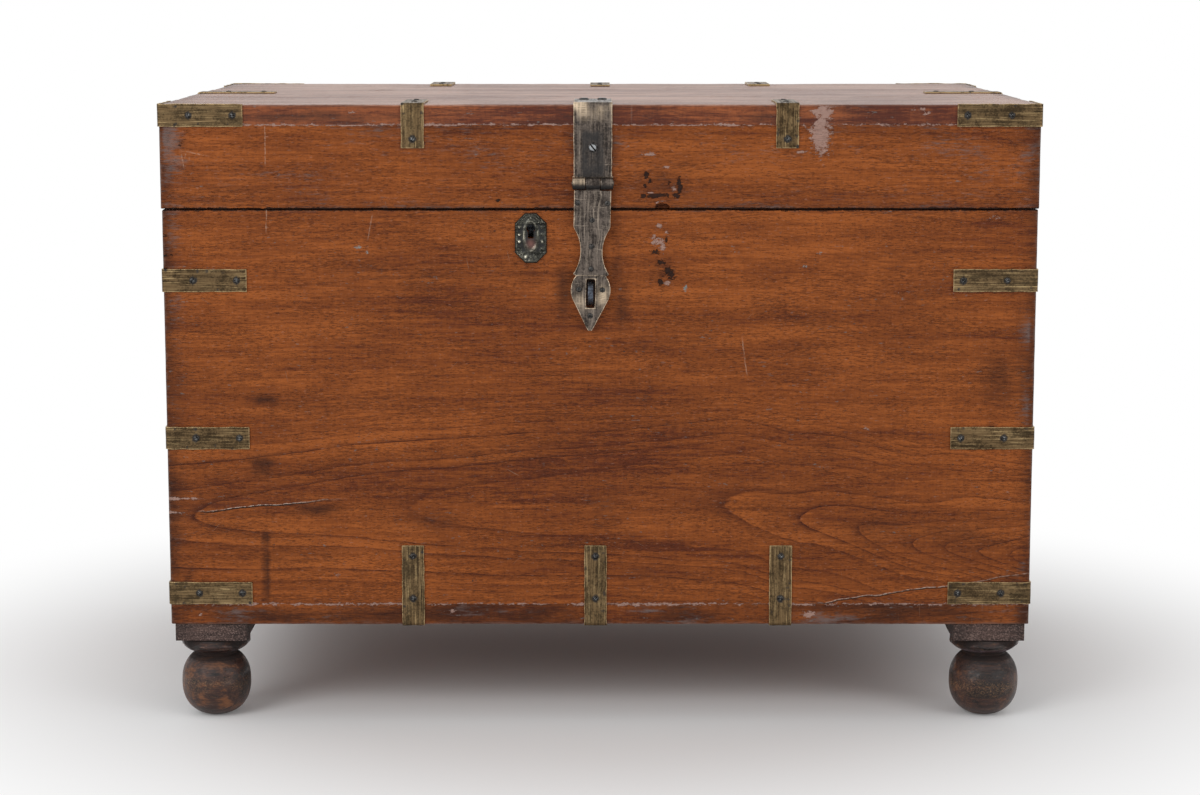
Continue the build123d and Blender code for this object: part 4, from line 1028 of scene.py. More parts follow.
def metal_material(
    name, dark, middle, bright, rubbed, crust, roughness=(0.34, 0.58), cross=0.0, brush_from=0.56, stain=""
):
    """Tarnished metal from five tones: cloudy dark to middle, brushed lines brighter, rims rubbed, crust
    darkest, and with it the painted shade under the knuckles; a stain's colour shows where its own field is
    painted."""
    material, w = new_material(name)
    place = w.field("lay", "Vector")
    skin = w.group(patina, Place=place, Rim=w.field("rim"), Halo=w.field("halo"), Cross=cross)
    colour = w.mix(skin["Tarnish"], dark, middle)
    lines = w.step(skin["Brush"], brush_from, brush_from + 0.16)
    colour = w.mix(lines * w.step(skin["Tarnish"], 0.0, 1.0, 0.45, 0.95), colour, bright)
    lows = w.step(skin["Brush"], 0.49, 0.36)
    colour = w.mix(lows * 0.7, colour, dark)
    # Polish is rubbed wear, and on the hasp's leaf and left knuckle partly a painted highlight.
    colour = w.mix(w.field("polish") * w.step(skin["Brush"], 0.40, 0.60, 0.3, 1.0), colour, rubbed)
    colour = w.mix(skin["Rubbed"] * 0.85, colour, rubbed)
    # Crust, and painted shade under the knuckles.
    colour = w.mix(skin["Crust"], colour, crust)
    if stain:
        colour = w.mix(w.field("stain"), colour, stain)
    sheen = w.step(skin["Tarnish"], 0.0, 1.0, roughness[1], roughness[0])
    sheen = sheen + skin["Crust"] * 0.25
    height = skin["Brush"] * 0.5 + skin["Grit"] * 0.4
    height = height - skin["Crust"] * 0.35
    plug(w, colour, sheen, height, 0.12 * MM, metal=w.step(skin["Crust"], 0.0, 1.0, 1.0, 0.25))
    return material


aged_brass = metal_material("aged_brass", "382d20", "705b40", "b49b70", "c0a67c", "1d1610", brush_from=0.54)

strip_width, strip_thick, fold_r = 25 * MM, 1.8 * MM, 2.0 * MM
body_screws, lid_screws = [], []
x_axis, y_axis, z_axis = np.eye(3)


def folded(flat, corner, first, second, thick):
    """Folds a straight strip over a corner. A point s along the strip and w above its under side goes
    straight on each leg, and round the bend at radius r + w by the angle that s has turned. Legs run from
    the corner along first (s below 0) and along second; each one's outward normal is the other, reversed."""
    run = np.cross(second, first)
    half = pi / 4 * (fold_r + thick / 2)
    s, v, w = flat.T
    turn = np.clip((s + half) / (2 * half), 0, 1) * pi / 2
    on_first = -fold_r + np.where(s < -half, s + half, 0)
    on_second = -fold_r - np.where(s > half, s - half, 0)
    bent_first, bent_second = -fold_r + (fold_r + w) * np.cos(turn), -fold_r + (fold_r + w) * np.sin(turn)
    up_first = np.where(s < -half, w, np.where(s > half, on_second, bent_first))
    up_second = np.where(s > half, w, np.where(s < -half, on_first, bent_second))
    return corner + up_first[:, None] * -second + up_second[:, None] * -first + v[:, None] * run


def strip(corner, first, second, leg_first, leg_second, screws, seed, width=strip_width, thick=strip_thick):
    """One folded strip: its points, faces and fields. A straight plank is made with snipped, wavy edges and
    hammer dents, painted where it is worn (within 1.6 mm of an edge) and where dirt rings each screw, then
    folded. Screws are (leg, distance from the outer corner) pairs; their places are also returned."""
    half = pi / 4 * (fold_r + thick / 2)
    start, stop = -(leg_first - fold_r + half), leg_second - fold_r + half
    low, high = np.array([start, -width / 2, 0]), np.array([stop, width / 2, thick])
    rounding = min(0.45 * MM, thick / 3)
    tips = (start, start + 4 * MM, 0.9 * MM), (stop - 4 * MM, stop, 0.9 * MM)
    rims = (low[1], low[1] + 3 * MM, 0.8 * MM), (high[1] - 3 * MM, high[1], 0.8 * MM)
    dense = ((-half, half, 0.7 * MM), *tips), rims, ()
    places, faces = plank(low, high, 2.6 * MM, rounding, seed, wear=0.5, dents=0.0, dense=dense)
    away = np.minimum(places - low, high - places)
    side = np.minimum(away[:, 0], away[:, 1])
    lay = places + np.random.default_rng(seed).uniform(-3, 3, 3)
    rim = ease(side, 1.8 * MM, 0.2 * MM)
    holes = [(-1 if leg == 0 else 1) * (reach - fold_r + half) for leg, reach in screws]
    near = np.full(len(places), 1.0)
    for hole in holes:
        near = np.minimum(near, np.hypot(places[:, 0] - hole, places[:, 1]))
    halo = ease(near, 6.2 * MM, 3.0 * MM)
    chance = np.random.default_rng(seed + 9)
    ahead = chance.uniform(start, stop, 9)
    aside = chance.uniform(0.30, 0.46, 9) * width * chance.choice([-1, 1], 9)
    smudge = np.min([np.hypot(places[:, 0] - a, places[:, 1] - b) for a, b in zip(ahead, aside)], axis=0)
    patches = np.clip(rough(places, 22 * MM, seed + 3), 0, 1) * 0.3
    patches = np.maximum(patches, 0.75 * ease(smudge, 3.4 * MM, 1.2 * MM))
    snip = 0.35 * MM * drift(places, (9 * MM, 1, 1), seed + 5)
    snip = snip * np.sign(places[:, 1]) * ease(away[:, 1], 2 * MM, 0)
    places[:, 1] += snip - 0.25 * MM * np.sign(places[:, 1]) * ease(away[:, 1], 2 * MM, 0)
    pressed = 0.22 * MM * np.clip(rough(places, 14 * MM, seed + 6), 0, 1)
    places[:, 2] -= pressed * (1 - rim) * ease(places[:, 2], 0, thick)
    corner, first, second = (np.array(v, float) for v in (corner, first, second))
    sites = []
    for leg, reach in screws:
        along, out = (second, -first) if leg else (first, -second)
        sites.append((corner + along * reach + out * (thick - 0.15 * MM), out, along))
    fields = dict(lay=lay, rim=rim, halo=np.maximum(halo, patches), polish=0 * rim + chance.uniform(0, 0.08))
    return folded(places, corner, first, second, thick), faces, fields, sites


def strips_piece(name, shapes, body, material=aged_brass):
    """One object from the strips of one node."""
    piece = new_piece(f"{name}_metal", *joined([shape[:2] for shape in shapes]), sharp=50)
    fields = {key: np.concatenate([shape[2][key] for shape in shapes]) for key in shapes[0][2]}
    finish(piece, fields, material, body, name)


corner_marks = [(0, 32 * MM), (0, 79.5 * MM), (1, 32 * MM), (1, 79.5 * MM)]
corner_leg = 90.5 * MM
strap_levels = [(111 + height) * MM for height in (35.5, 208.75, 382.0)]
lid_strap_level = 683.3 * MM + 0.8 * MM - strip_width / 2
seed = 200
for end, y_sign in (("front", -1), ("rear", 1)):
    for side, x_sign in (("left", -1), ("right", 1)):
        inward = ((-x_sign, 0, 0), (0, -y_sign, 0))
        node = f"corner_straps_{end}_{side}"
        shapes = []
        for level in strap_levels:
            seed += 1
            corner = (x_sign * front_high[0], y_sign * abs(front_low[1]), level)
            shapes.append(strip(corner, *inward, corner_leg, corner_leg, corner_marks, seed))
            body_screws += shapes[-1][3]
        strips_piece(node, shapes, "carcass")
        seed += 1
        node = f"lid_corner_strap_{end}_{side}"
        corner = (x_sign * lid_high[0], y_sign * abs(lid_low[1]), lid_strap_level)
        shapes = [strip(corner, *inward, corner_leg, corner_leg, corner_marks, seed)]
        lid_screws += shapes[-1][3]
        strips_piece(node, shapes, "lid")

base_marks = [(0, 29.5 * MM), (0, 77 * MM), (1, 42 * MM)]
for end, y_sign in (("front", -1), ("rear", 1)):
    shapes = []
    for middle in (-206, -5, 199):
        seed += 1
        corner = (middle * MM, y_sign * abs(front_low[1]), 111 * MM)
        shapes.append(strip(corner, (0, 0, 1), (0, -y_sign, 0), 89 * MM, 60 * MM, base_marks, seed))
        body_screws += shapes[-1][3]
    strips_piece(f"base_straps_{end}", shapes, "carcass")

lid_top = corners_of("lid_board_front")[1][2]
lid_marks = [(0, 37.2 * MM), (1, 34 * MM), (1, 76 * MM)]
for node, corner, second in (
    ("lid_front_strap_left", (-202 * MM, lid_low[1], lid_top), (0, 1, 0)),
    ("lid_front_strap_right", (202 * MM, lid_low[1], lid_top), (0, 1, 0)),
    ("lid_side_strap_left", (lid_low[0], 0, lid_top), (1, 0, 0)),
    ("lid_side_strap_right", (lid_high[0], 0, lid_top), (-1, 0, 0)),
    ("lid_rear_strap", (0, -lid_low[1], lid_top), (0, -1, 0)),
):
    seed += 1
    shapes = [strip(corner, (0, 0, -1), second, 47 * MM, 90 * MM, lid_marks, seed)]
    lid_screws += shapes[-1][3]
    strips_piece(node, shapes, "lid")


# Two strap hinges at the back: a lid leaf folded over the edge, a straight body leaf, and a pin through their
# rolled knuckles. Brass sheet, as the strips.


def flat_plate(low, high, thin, seed, screws=(), step=2.6 * MM, rounding=0.6 * MM):
    """A straight plate between two corners, thin along one axis, with its fields; screws are points on it."""
    low, high = np.asarray(low, float), np.asarray(high, float)
    places, faces = plank(low, high, step, rounding, seed, wear=0.5, dents=0.15 * MM)
    away = np.minimum(places - low, high - places)
    away[:, thin] = 1
    order = [axis for axis in (1, 2, 0) if axis != thin] + [thin]
    lay = places[:, order] + np.random.default_rng(seed).uniform(-3, 3, 3)
    near = np.ones(len(places))
    for screw in screws:
        near = np.minimum(near, np.linalg.norm(places - np.asarray(screw), axis=1))
    patches = np.clip(rough(places, 22 * MM, seed + 3), 0, 1) * 0.3
    halo = np.maximum(ease(near, 6.2 * MM, 3.0 * MM), patches)
    rim = ease(away.min(axis=1), 1.8 * MM, 0.2 * MM)
    return places, faces, dict(lay=lay, rim=rim, halo=halo, polish=0 * halo)


def knuckle(x_low, x_high, y, z, ring, bore, seed, sides=40):
    """A rolled knuckle: a ring of the wall's section, its outer corners rounded, swept round the X axis."""
    soft = 0.5 * MM
    middle = np.linspace(x_low + soft, x_high - soft, max(4, ceil((x_high - x_low) / (1.2 * MM))))
    wide = np.concatenate([[x_low, x_low + 0.3 * soft], middle, [x_high - 0.3 * soft, x_high, x_high, x_low]])
    bevel = [ring - soft, ring - 0.3 * soft]
    tall = np.concatenate([bevel, 0 * middle + ring, bevel[::-1], [bore, bore]])
    shape = len(wide), sides
    turn = np.linspace(0, 2 * pi, sides, endpoint=False)
    across, out = np.broadcast_to(wide[:, None], shape), np.broadcast_to(tall[:, None], shape)

    def placed(out):
        return np.stack([across, y + out * np.cos(turn), z + out * np.sin(turn)], axis=-1).reshape(-1, 3)

    pressed = np.clip(rough(placed(out), 6 * MM, seed), 0, 1).reshape(shape)
    places = placed(out - (out > 0.8 * ring) * 0.3 * MM * pressed)
    row = np.arange(len(wide))[:, None] * sides
    after = np.roll(row, -1)
    step, ahead = np.arange(sides), (np.arange(sides) + 1) % sides
    faces = np.stack([row + step, after + step, after + ahead, row + ahead], axis=-1).reshape(-1, 4)
    round_it = np.broadcast_to(turn * ring, shape).ravel()
    lay = np.column_stack([round_it, places[:, 0], np.full(len(places), 0.3 * seed)])
    near_end = ease(np.minimum(places[:, 0] - x_low, x_high - places[:, 0]), 0.9 * MM, 0.2 * MM)
    # Painted shade: the lower half of the knuckle is darkened through halo.
    shadow = ease(places[:, 2], z + 1 * MM, z - 0.6 * ring)
    return places, faces, dict(lay=lay, rim=0.8 * near_end, halo=0.35 + 0.55 * shadow, polish=0 * shadow)


hinge_y, hinge_z, hinge_ring, hinge_bore = 319.8 * MM, 570.4 * MM, 5.5 * MM, 2.56 * MM
hinge_half, tongue_half, leaf_sheet = 14 * MM, 4.65 * MM, 2.5 * MM
rear_wall, rear_rail = -front_low[1], -lid_low[1]
marks = [(0, 28.9 * MM), (0, 74.9 * MM), (1, 34 * MM), (1, 76 * MM)]
for side, x_sign in (("left", -1), ("right", 1)):
    middle = x_sign * 202 * MM
    seed = 300 + 10 * (x_sign + 1)
    corner = (middle, rear_rail, lid_top)
    shapes = [
        strip(corner, (0, 0, -1), (0, -1, 0), 106.4 * MM, 85 * MM, marks, seed, 2 * hinge_half, leaf_sheet)
    ]
    lid_screws += shapes[0][3]
    for low_x, high_x in ((middle - 14 * MM, middle - 4.85 * MM), (middle + 4.85 * MM, middle + 14 * MM)):
        tab = (low_x, rear_rail, hinge_z), (high_x, rear_rail + leaf_sheet, hinge_z + 8 * MM)
        shapes.append(flat_plate(*tab, 1, seed + 2))
        shapes.append(knuckle(low_x, high_x, hinge_y, hinge_z, hinge_ring, hinge_bore, seed + 3))
    strips_piece(f"hinge_{side}_lid_leaf", shapes, "lid")
    y_low, y_high = rear_wall, rear_wall + leaf_sheet
    screws = [(middle, y_high, hinge_z - drop * MM) for drop in (34, 76)]
    low_x, high_x = middle - tongue_half, middle + tongue_half
    leaf = (middle - hinge_half, y_low, hinge_z - 90 * MM), (middle + hinge_half, y_high, hinge_z - 6.2 * MM)
    shapes = [
        flat_plate(*leaf, 1, seed + 4, screws),
        flat_plate((low_x, y_low, hinge_z - 8 * MM), (high_x, y_high, hinge_z), 1, seed + 5),
        knuckle(low_x, high_x, hinge_y, hinge_z, hinge_ring, hinge_bore, seed + 6),
    ]
    strips_piece(f"hinge_{side}_body_leaf", shapes, "carcass")
    body_screws += [(np.array(screw), y_axis, x_axis) for screw in screws]


def object_metal(name, dark, middle, bright, crust, roughness=(0.35, 0.6)):
    """The same tarnish on Object coordinates, for turned and forged pieces that carry no painted fields."""
    material, w = new_material(name)
    place = w.add("TexCoord", out="Object")
    skin = w.group(patina, Place=place, Rim=0.25, Halo=0.1, Cross=0.6)
    colour = w.mix(skin["Tarnish"], dark, middle)
    colour = w.mix(w.step(skin["Brush"], 0.55, 0.75) * 0.6, colour, bright)
    colour = w.mix(skin["Rubbed"] * 0.5, colour, bright)
    colour = w.mix(skin["Crust"], colour, crust)
    height = skin["Brush"] * 0.4 + skin["Grit"] * 0.6
    sheen = w.step(skin["Tarnish"], 0.0, 1.0, roughness[1], roughness[0])
    plug(w, colour, sheen, height, 0.15 * MM, metal=w.step(skin["Crust"], 0.0, 1.0, 1.0, 0.3))
    return material


pin_brass = object_metal("pin_brass", "372c20", "675439", "9e8660", "1d1610")


def keep_node(name, material, bevel=0.4 * MM):
    """Keeps a CAD node and gives it a material, its loose triangles welded and its edges slightly rounded."""
    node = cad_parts[name]
    node.data.materials.clear()
    node.data.materials.append(material)
    weld = node.modifiers.new("weld", "WELD")
    weld.merge_threshold = 0.01 * MM
    round_off = node.modifiers.new("round", "BEVEL")
    round_off.width = bevel
    round_off.segments = 2
    round_off.limit_method = "ANGLE"
    round_off.angle_limit = radians(40)
    round_off.harden_normals = False


keep_node("hinge_pins", pin_brass)


# Hasp: a plate folded over the lid's edge and held by three big screws, and a forged leaf that swings on its
# pin and drops over the staple. Bronze, browned, with bright wear where hands and padlocks rubbed it, and
# painted highlights on the leaf's spade and the top of the left knuckle; the knuckles' undersides carry
# painted shade.

bronze = metal_material(
    "antique_bronze", "332e2b", "6b6159", "b3a493", "dfc8ab", "171312", roughness=(0.30, 0.50), cross=0.93
)
hasp_x, hasp_y, hasp_z, hasp_ring, hasp_bore = (v * MM for v in (-7.7, -321.0, 598.8, 6.7, 2.66))
half_barrel, half_leaf_knuckle, knuckle_play = 22 * MM, 7.7 * MM, 0.6 * MM
outer_knuckles = (
    (hasp_x - half_barrel, hasp_x - half_leaf_knuckle - knuckle_play),
    (hasp_x + half_leaf_knuckle + knuckle_play, hasp_x + half_barrel),
)
plate_thick = 2.5 * MM
corner = (hasp_x, lid_low[1], lid_top)
marks = [(0, 46.1 * MM)]
shape = strip(corner, (0, 0, -1), (0, 1, 0), 78.6 * MM, 90 * MM, marks, 400, 42 * MM, plate_thick)
spot, _, fields, _ = shape
aside = abs(spot[:, 0] - hasp_x)
rubbed = ease(spot[:, 2], 662 * MM, 680 * MM) * ease(spot[:, 1], -0.30, -0.312)
mottled = np.clip(0.7 + 0.9 * rough(spot, (9 * MM, 9 * MM, 14 * MM), 402), 0, 1)
rubbed *= mottled * (0.45 + 0.55 * ease(aside, 3 * MM, 9 * MM))
shaded = 0.7 * ease(spot[:, 2], 668 * MM, 650 * MM) * ease(aside, 20 * MM, 9 * MM)
fields["polish"] = 0.95 * rubbed
fields["halo"] = np.maximum(fields["halo"], shaded) * (1 - rubbed)
shapes = [shape]
# The left outer knuckle's upper half is brightened: partly rubbed wear, partly a painted highlight.
for (low_x, high_x), bright in zip(outer_knuckles, (0.6, 0.0)):
    tab = (low_x, lid_low[1] - plate_thick, hasp_z), (high_x, lid_low[1], hasp_z + 7 * MM)
    shapes.append(flat_plate(*tab, 1, 403))
    shapes.append(knuckle(low_x, high_x, hasp_y, hasp_z, hasp_ring, hasp_bore, 404, 48))
    shapes[-1][2]["polish"] += bright * ease(shapes[-1][0][:, 2], hasp_z - 3 * MM, hasp_z + 3 * MM)
strips_piece("hasp_plate", shapes, "lid", bronze)
pin_bronze = object_metal("pin_bronze", "2f2a28", "62584f", "a08f7c", "1a1614")
keep_node("hasp_pin", pin_bronze)

lean, leaf_thick = radians(1.2), 2.5 * MM


def on_leaf(local):
    """Points of the leaf's own plane (right, up, outwards; the pin at the origin) in the chest's frame."""
    x, y, z = np.asarray(local).T
    right, up = x * cos(lean) + y * sin(lean), x * sin(lean) - y * cos(lean)
    return np.column_stack([hasp_x + right, hasp_y - z, hasp_z - up])


def through(first, second, third, level):
    """Half width at each level on the circle through three (half width, level) points."""
    (ax, ay), (bx, by), (cx, cy) = first, second, third
    a, b, c = ax**2 + ay**2, bx**2 + by**2, cx**2 + cy**2
    d = 2 * (ax * (by - cy) + bx * (cy - ay) + cx * (ay - by))
    ux = (a * (by - cy) + b * (cy - ay) + c * (ay - by)) / d
    uy = (a * (cx - bx) + b * (ax - cx) + c * (bx - ax)) / d
    bulge = np.sqrt(np.maximum((ax - ux) ** 2 + (ay - uy) ** 2 - (level - uy) ** 2, 0))
    return ux + np.sign(bx - ux) * bulge


def leaf_half(drop):
    """Half width at a distance below the pin, in millimetres: straight shoulders, a waist on one arc, ears, a
    notch, a bulge on a second arc, then straight to the point."""
    shoulder = np.interp(drop, [0, 47, 50.5], [20, 20, 18.5])
    waist = through((18.5, 50.5), (11.9, 74.0), (19.6, 98.4), np.clip(drop, 50.5, 98.4))
    notch = np.interp(drop, [98.4, 100.2], [19.6, 16.2])
    spade = through((16.2, 100.2), (21.4, 113.0), (18.3, 128.0), np.clip(drop, 100.2, 128))
    point = np.interp(drop, [128, 156.5, 160], [18.3, 3.9, 1.6])
    parts = [shoulder, waist, notch, spade]
    return np.select([drop < 50.5, drop < 98.4, drop < 100.2, drop < 128], parts, point)


low, high = (-20 * MM, -160 * MM, -leaf_thick / 2), (20 * MM, -7.4 * MM, leaf_thick / 2)
dense = (), ((-101 * MM, -97 * MM, 0.6 * MM), (-51.5 * MM, -46 * MM, 0.9 * MM)), ()
places, faces = plank(low, high, 1.7 * MM, 0.75 * MM, 405, wear=0.45, dense=dense)
places[:, 0] *= leaf_half(-places[:, 1] / MM) / 20
low, high = (-half_leaf_knuckle, -9 * MM, -leaf_thick / 2), (half_leaf_knuckle, 0, leaf_thick / 2)
tab, tab_faces = plank(low, high, 2 * MM, 0.5 * MM, 406)
hasp_leaf = new_piece("hasp_leaf_metal", places, faces)
slot_half, slot_low, slot_high = 5.1 * MM, -135.2 * MM, -103.2 * MM
slot_middle, slot_reach = (slot_low + slot_high) / 2, (slot_high - slot_low) / 2
turns = np.radians(np.linspace(0, 360, 24, endpoint=False))
ux, uy = np.cos(turns), np.sin(turns)
slot = np.column_stack([
    np.sign(ux) * np.abs(ux) ** 0.35 * slot_half, slot_middle + np.sign(uy) * np.abs(uy) ** 0.25 * slot_reach
])
cut_away(hasp_leaf, prisms(2, -5 * MM, 5 * MM, [slot]))
flat = points_of(hasp_leaf)
sheet_faces = [list(polygon.vertices) for polygon in hasp_leaf.data.polygons]
bpy.data.objects.remove(hasp_leaf)
drop = -flat[:, 1] / MM
right = flat[:, 0] / MM
side = leaf_half(drop) - np.abs(right)
to_slot = np.maximum(np.abs(flat[:, 0]) - slot_half, np.abs(flat[:, 1] - slot_middle) - slot_reach)
rivet_marks = [(-16, 21), (16, 21), (0, 39.5), (0, 68), (0, 92.5), (-12.7, 115), (12.7, 115), (0, 143.5)]
near = np.min([np.hypot(right - x, drop - y) for x, y in rivet_marks], axis=0)
rim = np.maximum(ease(side, 1.9, 0.2), ease(np.abs(to_slot), 1.3 * MM, 0.2 * MM))
rim = np.maximum(rim, 0.8 * ease(np.abs(drop - 99.6), 1.2, 0.2))
# Painted highlights: two bright spots on the spade.
spade_highlight = np.exp(-(((right - 13) / 5) ** 2) - ((drop - 122) / 9) ** 2)
spade_highlight += 0.5 * np.exp(-(((right + 12) / 6) ** 2) - ((drop - 128) / 8) ** 2)
hem = 0.55 * MM * ease(drop, 99.4, 100.6) * (flat[:, 2] > 0)
bowed = flat - np.column_stack([0 * drop, 0 * drop, hem])
warp = 2.5 * MM * np.column_stack([rough(flat, 30 * MM, 414), rough(flat, 30 * MM, 417), 0 * drop])
patches = np.clip(rough(flat, 20 * MM, 407), 0, 1) * 0.2
halo = np.maximum(ease(near, 4.6, 2.8) * 0.7, patches)
fields = dict(lay=(flat + warp)[:, [1, 0, 2]] + 1.3, rim=rim, halo=halo, polish=spade_highlight)
none = 0 * tab[:, 0]
tab_fields = dict(lay=tab + (1.3, 0.4, 0.9), rim=none, halo=none + 0.3, polish=none)
ring = knuckle(
    hasp_x - half_leaf_knuckle, hasp_x + half_leaf_knuckle, hasp_y, hasp_z, hasp_ring, hasp_bore, 408, 48
)
shapes = [(on_leaf(bowed), sheet_faces, fields), (on_leaf(tab), tab_faces, tab_fields), ring]
strips_piece("hasp_leaf", shapes, "hasp", bronze)


def set_out(shape, sites, seed, tilt=0.03):
    """Copies of one small shape, each on its site (origin, outward normal, along) at a random turn and
    tilt."""
    places, faces = shape
    chance = np.random.default_rng(seed)
    copies, marks = [], []
    for origin, normal, along in sites:
        normal = normal + chance.normal(0, tilt, 3)
        normal = normal / np.linalg.norm(normal)
        turn = chance.uniform(0, 2 * pi)
        across = np.cross(normal, along)
        across /= np.linalg.norm(across)
        ahead = np.cross(across, normal)
        first, second = ahead * cos(turn) + across * sin(turn), across * cos(turn) - ahead * sin(turn)
        x, y, z = (places[:, axis : axis + 1] for axis in range(3))
        copies.append((origin + x * first + y * second + z * normal, faces))
        marks.append(places + chance.uniform(-3, 3, 3))
    return joined(copies), np.concatenate(marks)


def dome(radius, height, sides=20):
    """A rivet's head: quarter-ellipse rings, r cos a and h sin a, closed below."""
    rise = np.radians([0, 0, 35, 65])
    profile = np.column_stack([radius * np.cos(rise), height * np.sin(rise)])
    profile[0, 1] = -0.4 * MM
    profile = np.concatenate([[(0, -0.4 * MM)], profile, [(0, height)]])
    return revolved(profile, (0, 0), sides)


def slotted(radius, height, slot_half, slot_depth, rows=3, columns=7):
    """A slotted screw head on a grid bent to a disc: each row at v is the disc's chord there, sqrt(1 - v^2)
    wide. Height falls off as r^4 to a soft edge, less the slot's depth on the middle rows; a skirt closes it
    below."""
    slit = slot_half / radius
    beyond = np.linspace(slit + 0.02, 0.97, rows + 1)
    v = np.concatenate([-beyond[::-1], [-slit * 0.96, slit * 0.96], beyond])
    u = np.linspace(-1, 1, columns)[None, :] * np.sqrt(1 - v[:, None] ** 2)
    level = height * (1 - 0.55 * (u**2 + v[:, None] ** 2) ** 2)
    level -= slot_depth * (np.abs(v) < slit)[:, None]
    top = np.stack([u, np.broadcast_to(v[:, None], u.shape), level / radius], axis=-1)
    top = top.reshape(-1, 3) * radius
    number = np.arange(len(top)).reshape(u.shape)
    quads = np.stack([number[:-1, :-1], number[:-1, 1:], number[1:, 1:], number[1:, :-1]], axis=-1)
    quads = quads.reshape(-1, 4)
    edge = np.concatenate([number[0, :-1], number[:-1, -1], number[-1, :0:-1], number[:0:-1, 0]])
    skirt = top[edge] * (1, 1, 0) - (0, 0, 0.3 * MM)
    below = len(top) + np.arange(len(edge))
    walls = np.stack([edge, below, np.roll(below, -1), np.roll(edge, -1)], axis=1)
    return np.concatenate([top, skirt]), [*quads, *walls, below[::-1]]


def iron_material():
    """Blued iron screw: dark at its rim, lighter in the middle and on the burrs by its slot, partly worn
    bright and cold and partly a painted highlight.
    """
    material, w = new_material("dark_iron")
    place = w.field("lay", "Vector")
    cloud = w.noise(place, 330, 4, 0.65)
    fine = w.noise(place, 1600, 3, 0.7)
    colour = w.mix(w.step(cloud, 0.38, 0.60), "211f1e", "4a4846")
    # A lighter middle: partly worn metal, partly a painted highlight.
    bright = w.step(0.6 - w.field("rim") + cloud * 0.9, 0.88, 1.25)
    colour = w.mix(bright * 0.85, colour, "a3a6a8")
    colour = w.mix(w.step(fine + w.field("halo"), 0.85, 1.2), colour, "15120f")
    plug(w, colour, w.step(cloud, 0.3, 0.7, 0.28, 0.5), cloud + fine, 0.12 * MM, metal=0.9)
    return material


dark_iron = iron_material()


def screws_piece(name, shape, sites, seed, radius, body, node, shine=0.0):
    """All like screws of one body as one object; the rim field is high at the edge, less the shine, which
    widens the painted highlight in the middle, and halo is high in the slot."""
    (places, faces), local = set_out(shape, sites, seed)
    piece = new_piece(name, places, faces, sharp=55)
    own = np.tile(shape[0], (len(sites), 1))
    reach = np.hypot(own[:, 0], own[:, 1])
    low_down = own[:, 2] < own[:, 2].max() * 0.55
    fields = dict(
        lay=local,
        rim=ease(reach, radius * 0.35, radius * 0.9) - shine,
        halo=(low_down & (reach < radius * 0.9)).astype(float),
    )
    finish(piece, fields, dark_iron, body, node)


rivet_sites = []
for x, y in rivet_marks:
    for z, way in ((leaf_thick / 2 - 0.1 * MM, 1), (-leaf_thick / 2 + 0.1 * MM, -1)):
        z -= 0.5 * MM * (y > 100 and way > 0)
        origin = on_leaf([(x * MM, -y * MM, z)])[0]
        rivet_sites.append((origin, -way * y_axis, x_axis))
rivet_r, hasp_screw_r = 2.9 * MM, 5.4 * MM
rivet = dome(rivet_r, 0.75 * MM)
screws_piece("hasp_rivets_metal", rivet, rivet_sites, 410, rivet_r, "hasp", "hasp_rivets", -0.35)
big_head = slotted(hasp_screw_r, 2.1 * MM, 0.7 * MM, 1.0 * MM, 5, 11)
origin = np.array([hasp_x, lid_low[1] - plate_thick + 0.1 * MM, hasp_z + 38.4 * MM])
hasp_sites = [(origin, -y_axis, z_axis)]
for offset in (-10, 10):
    origin = np.array([hasp_x + offset * MM, lid_low[1] + 68 * MM, lid_top + plate_thick - 0.1 * MM])
    hasp_sites.append((origin, z_axis, y_axis))
screws_piece("hasp_screws_metal", big_head, hasp_sites, 412, hasp_screw_r, "lid", "hasp_screws", 0.5)


# Staple: a flat steel bar bent to a loop, driven through the front; the hasp's slot drops over it.


def swept(centres, sides, ups, section):
    """A section of (side, up) points carried along a path, closed at both ends."""
    count = len(section)
    section = np.asarray(section)
    places = centres[:, None] + sides[:, None] * section[None, :, :1] + ups[:, None] * section[None, :, 1:]
    row = np.arange(len(centres) - 1)[:, None] * count
    step, ahead = np.arange(count), (np.arange(count) + 1) % count
    quads = np.stack([row + step, row + ahead, row + ahead + count, row + step + count], axis=-1)
    quads = quads.reshape(-1, 4)
    last = (len(centres) - 1) * count
    return places.reshape(-1, 3), [*quads, step[::-1], last + step]


def rounded_section(wide, tall, soft, count=4):
    """A rectangle's outline with its corners on small arcs."""
    turn = np.radians(np.linspace(0, 90, count))
    corner = np.column_stack([soft * np.cos(turn), soft * np.sin(turn)])
    parts = []
    for quarter, (a, b) in enumerate(((1, 1), (-1, 1), (-1, -1), (1, -1))):
        spin = quarter * pi / 2
        turned = corner @ np.array([[cos(spin), sin(spin)], [-sin(spin), cos(spin)]])
        parts.append(turned + (a * (wide / 2 - soft), b * (tall / 2 - soft)))
    return np.concatenate(parts)


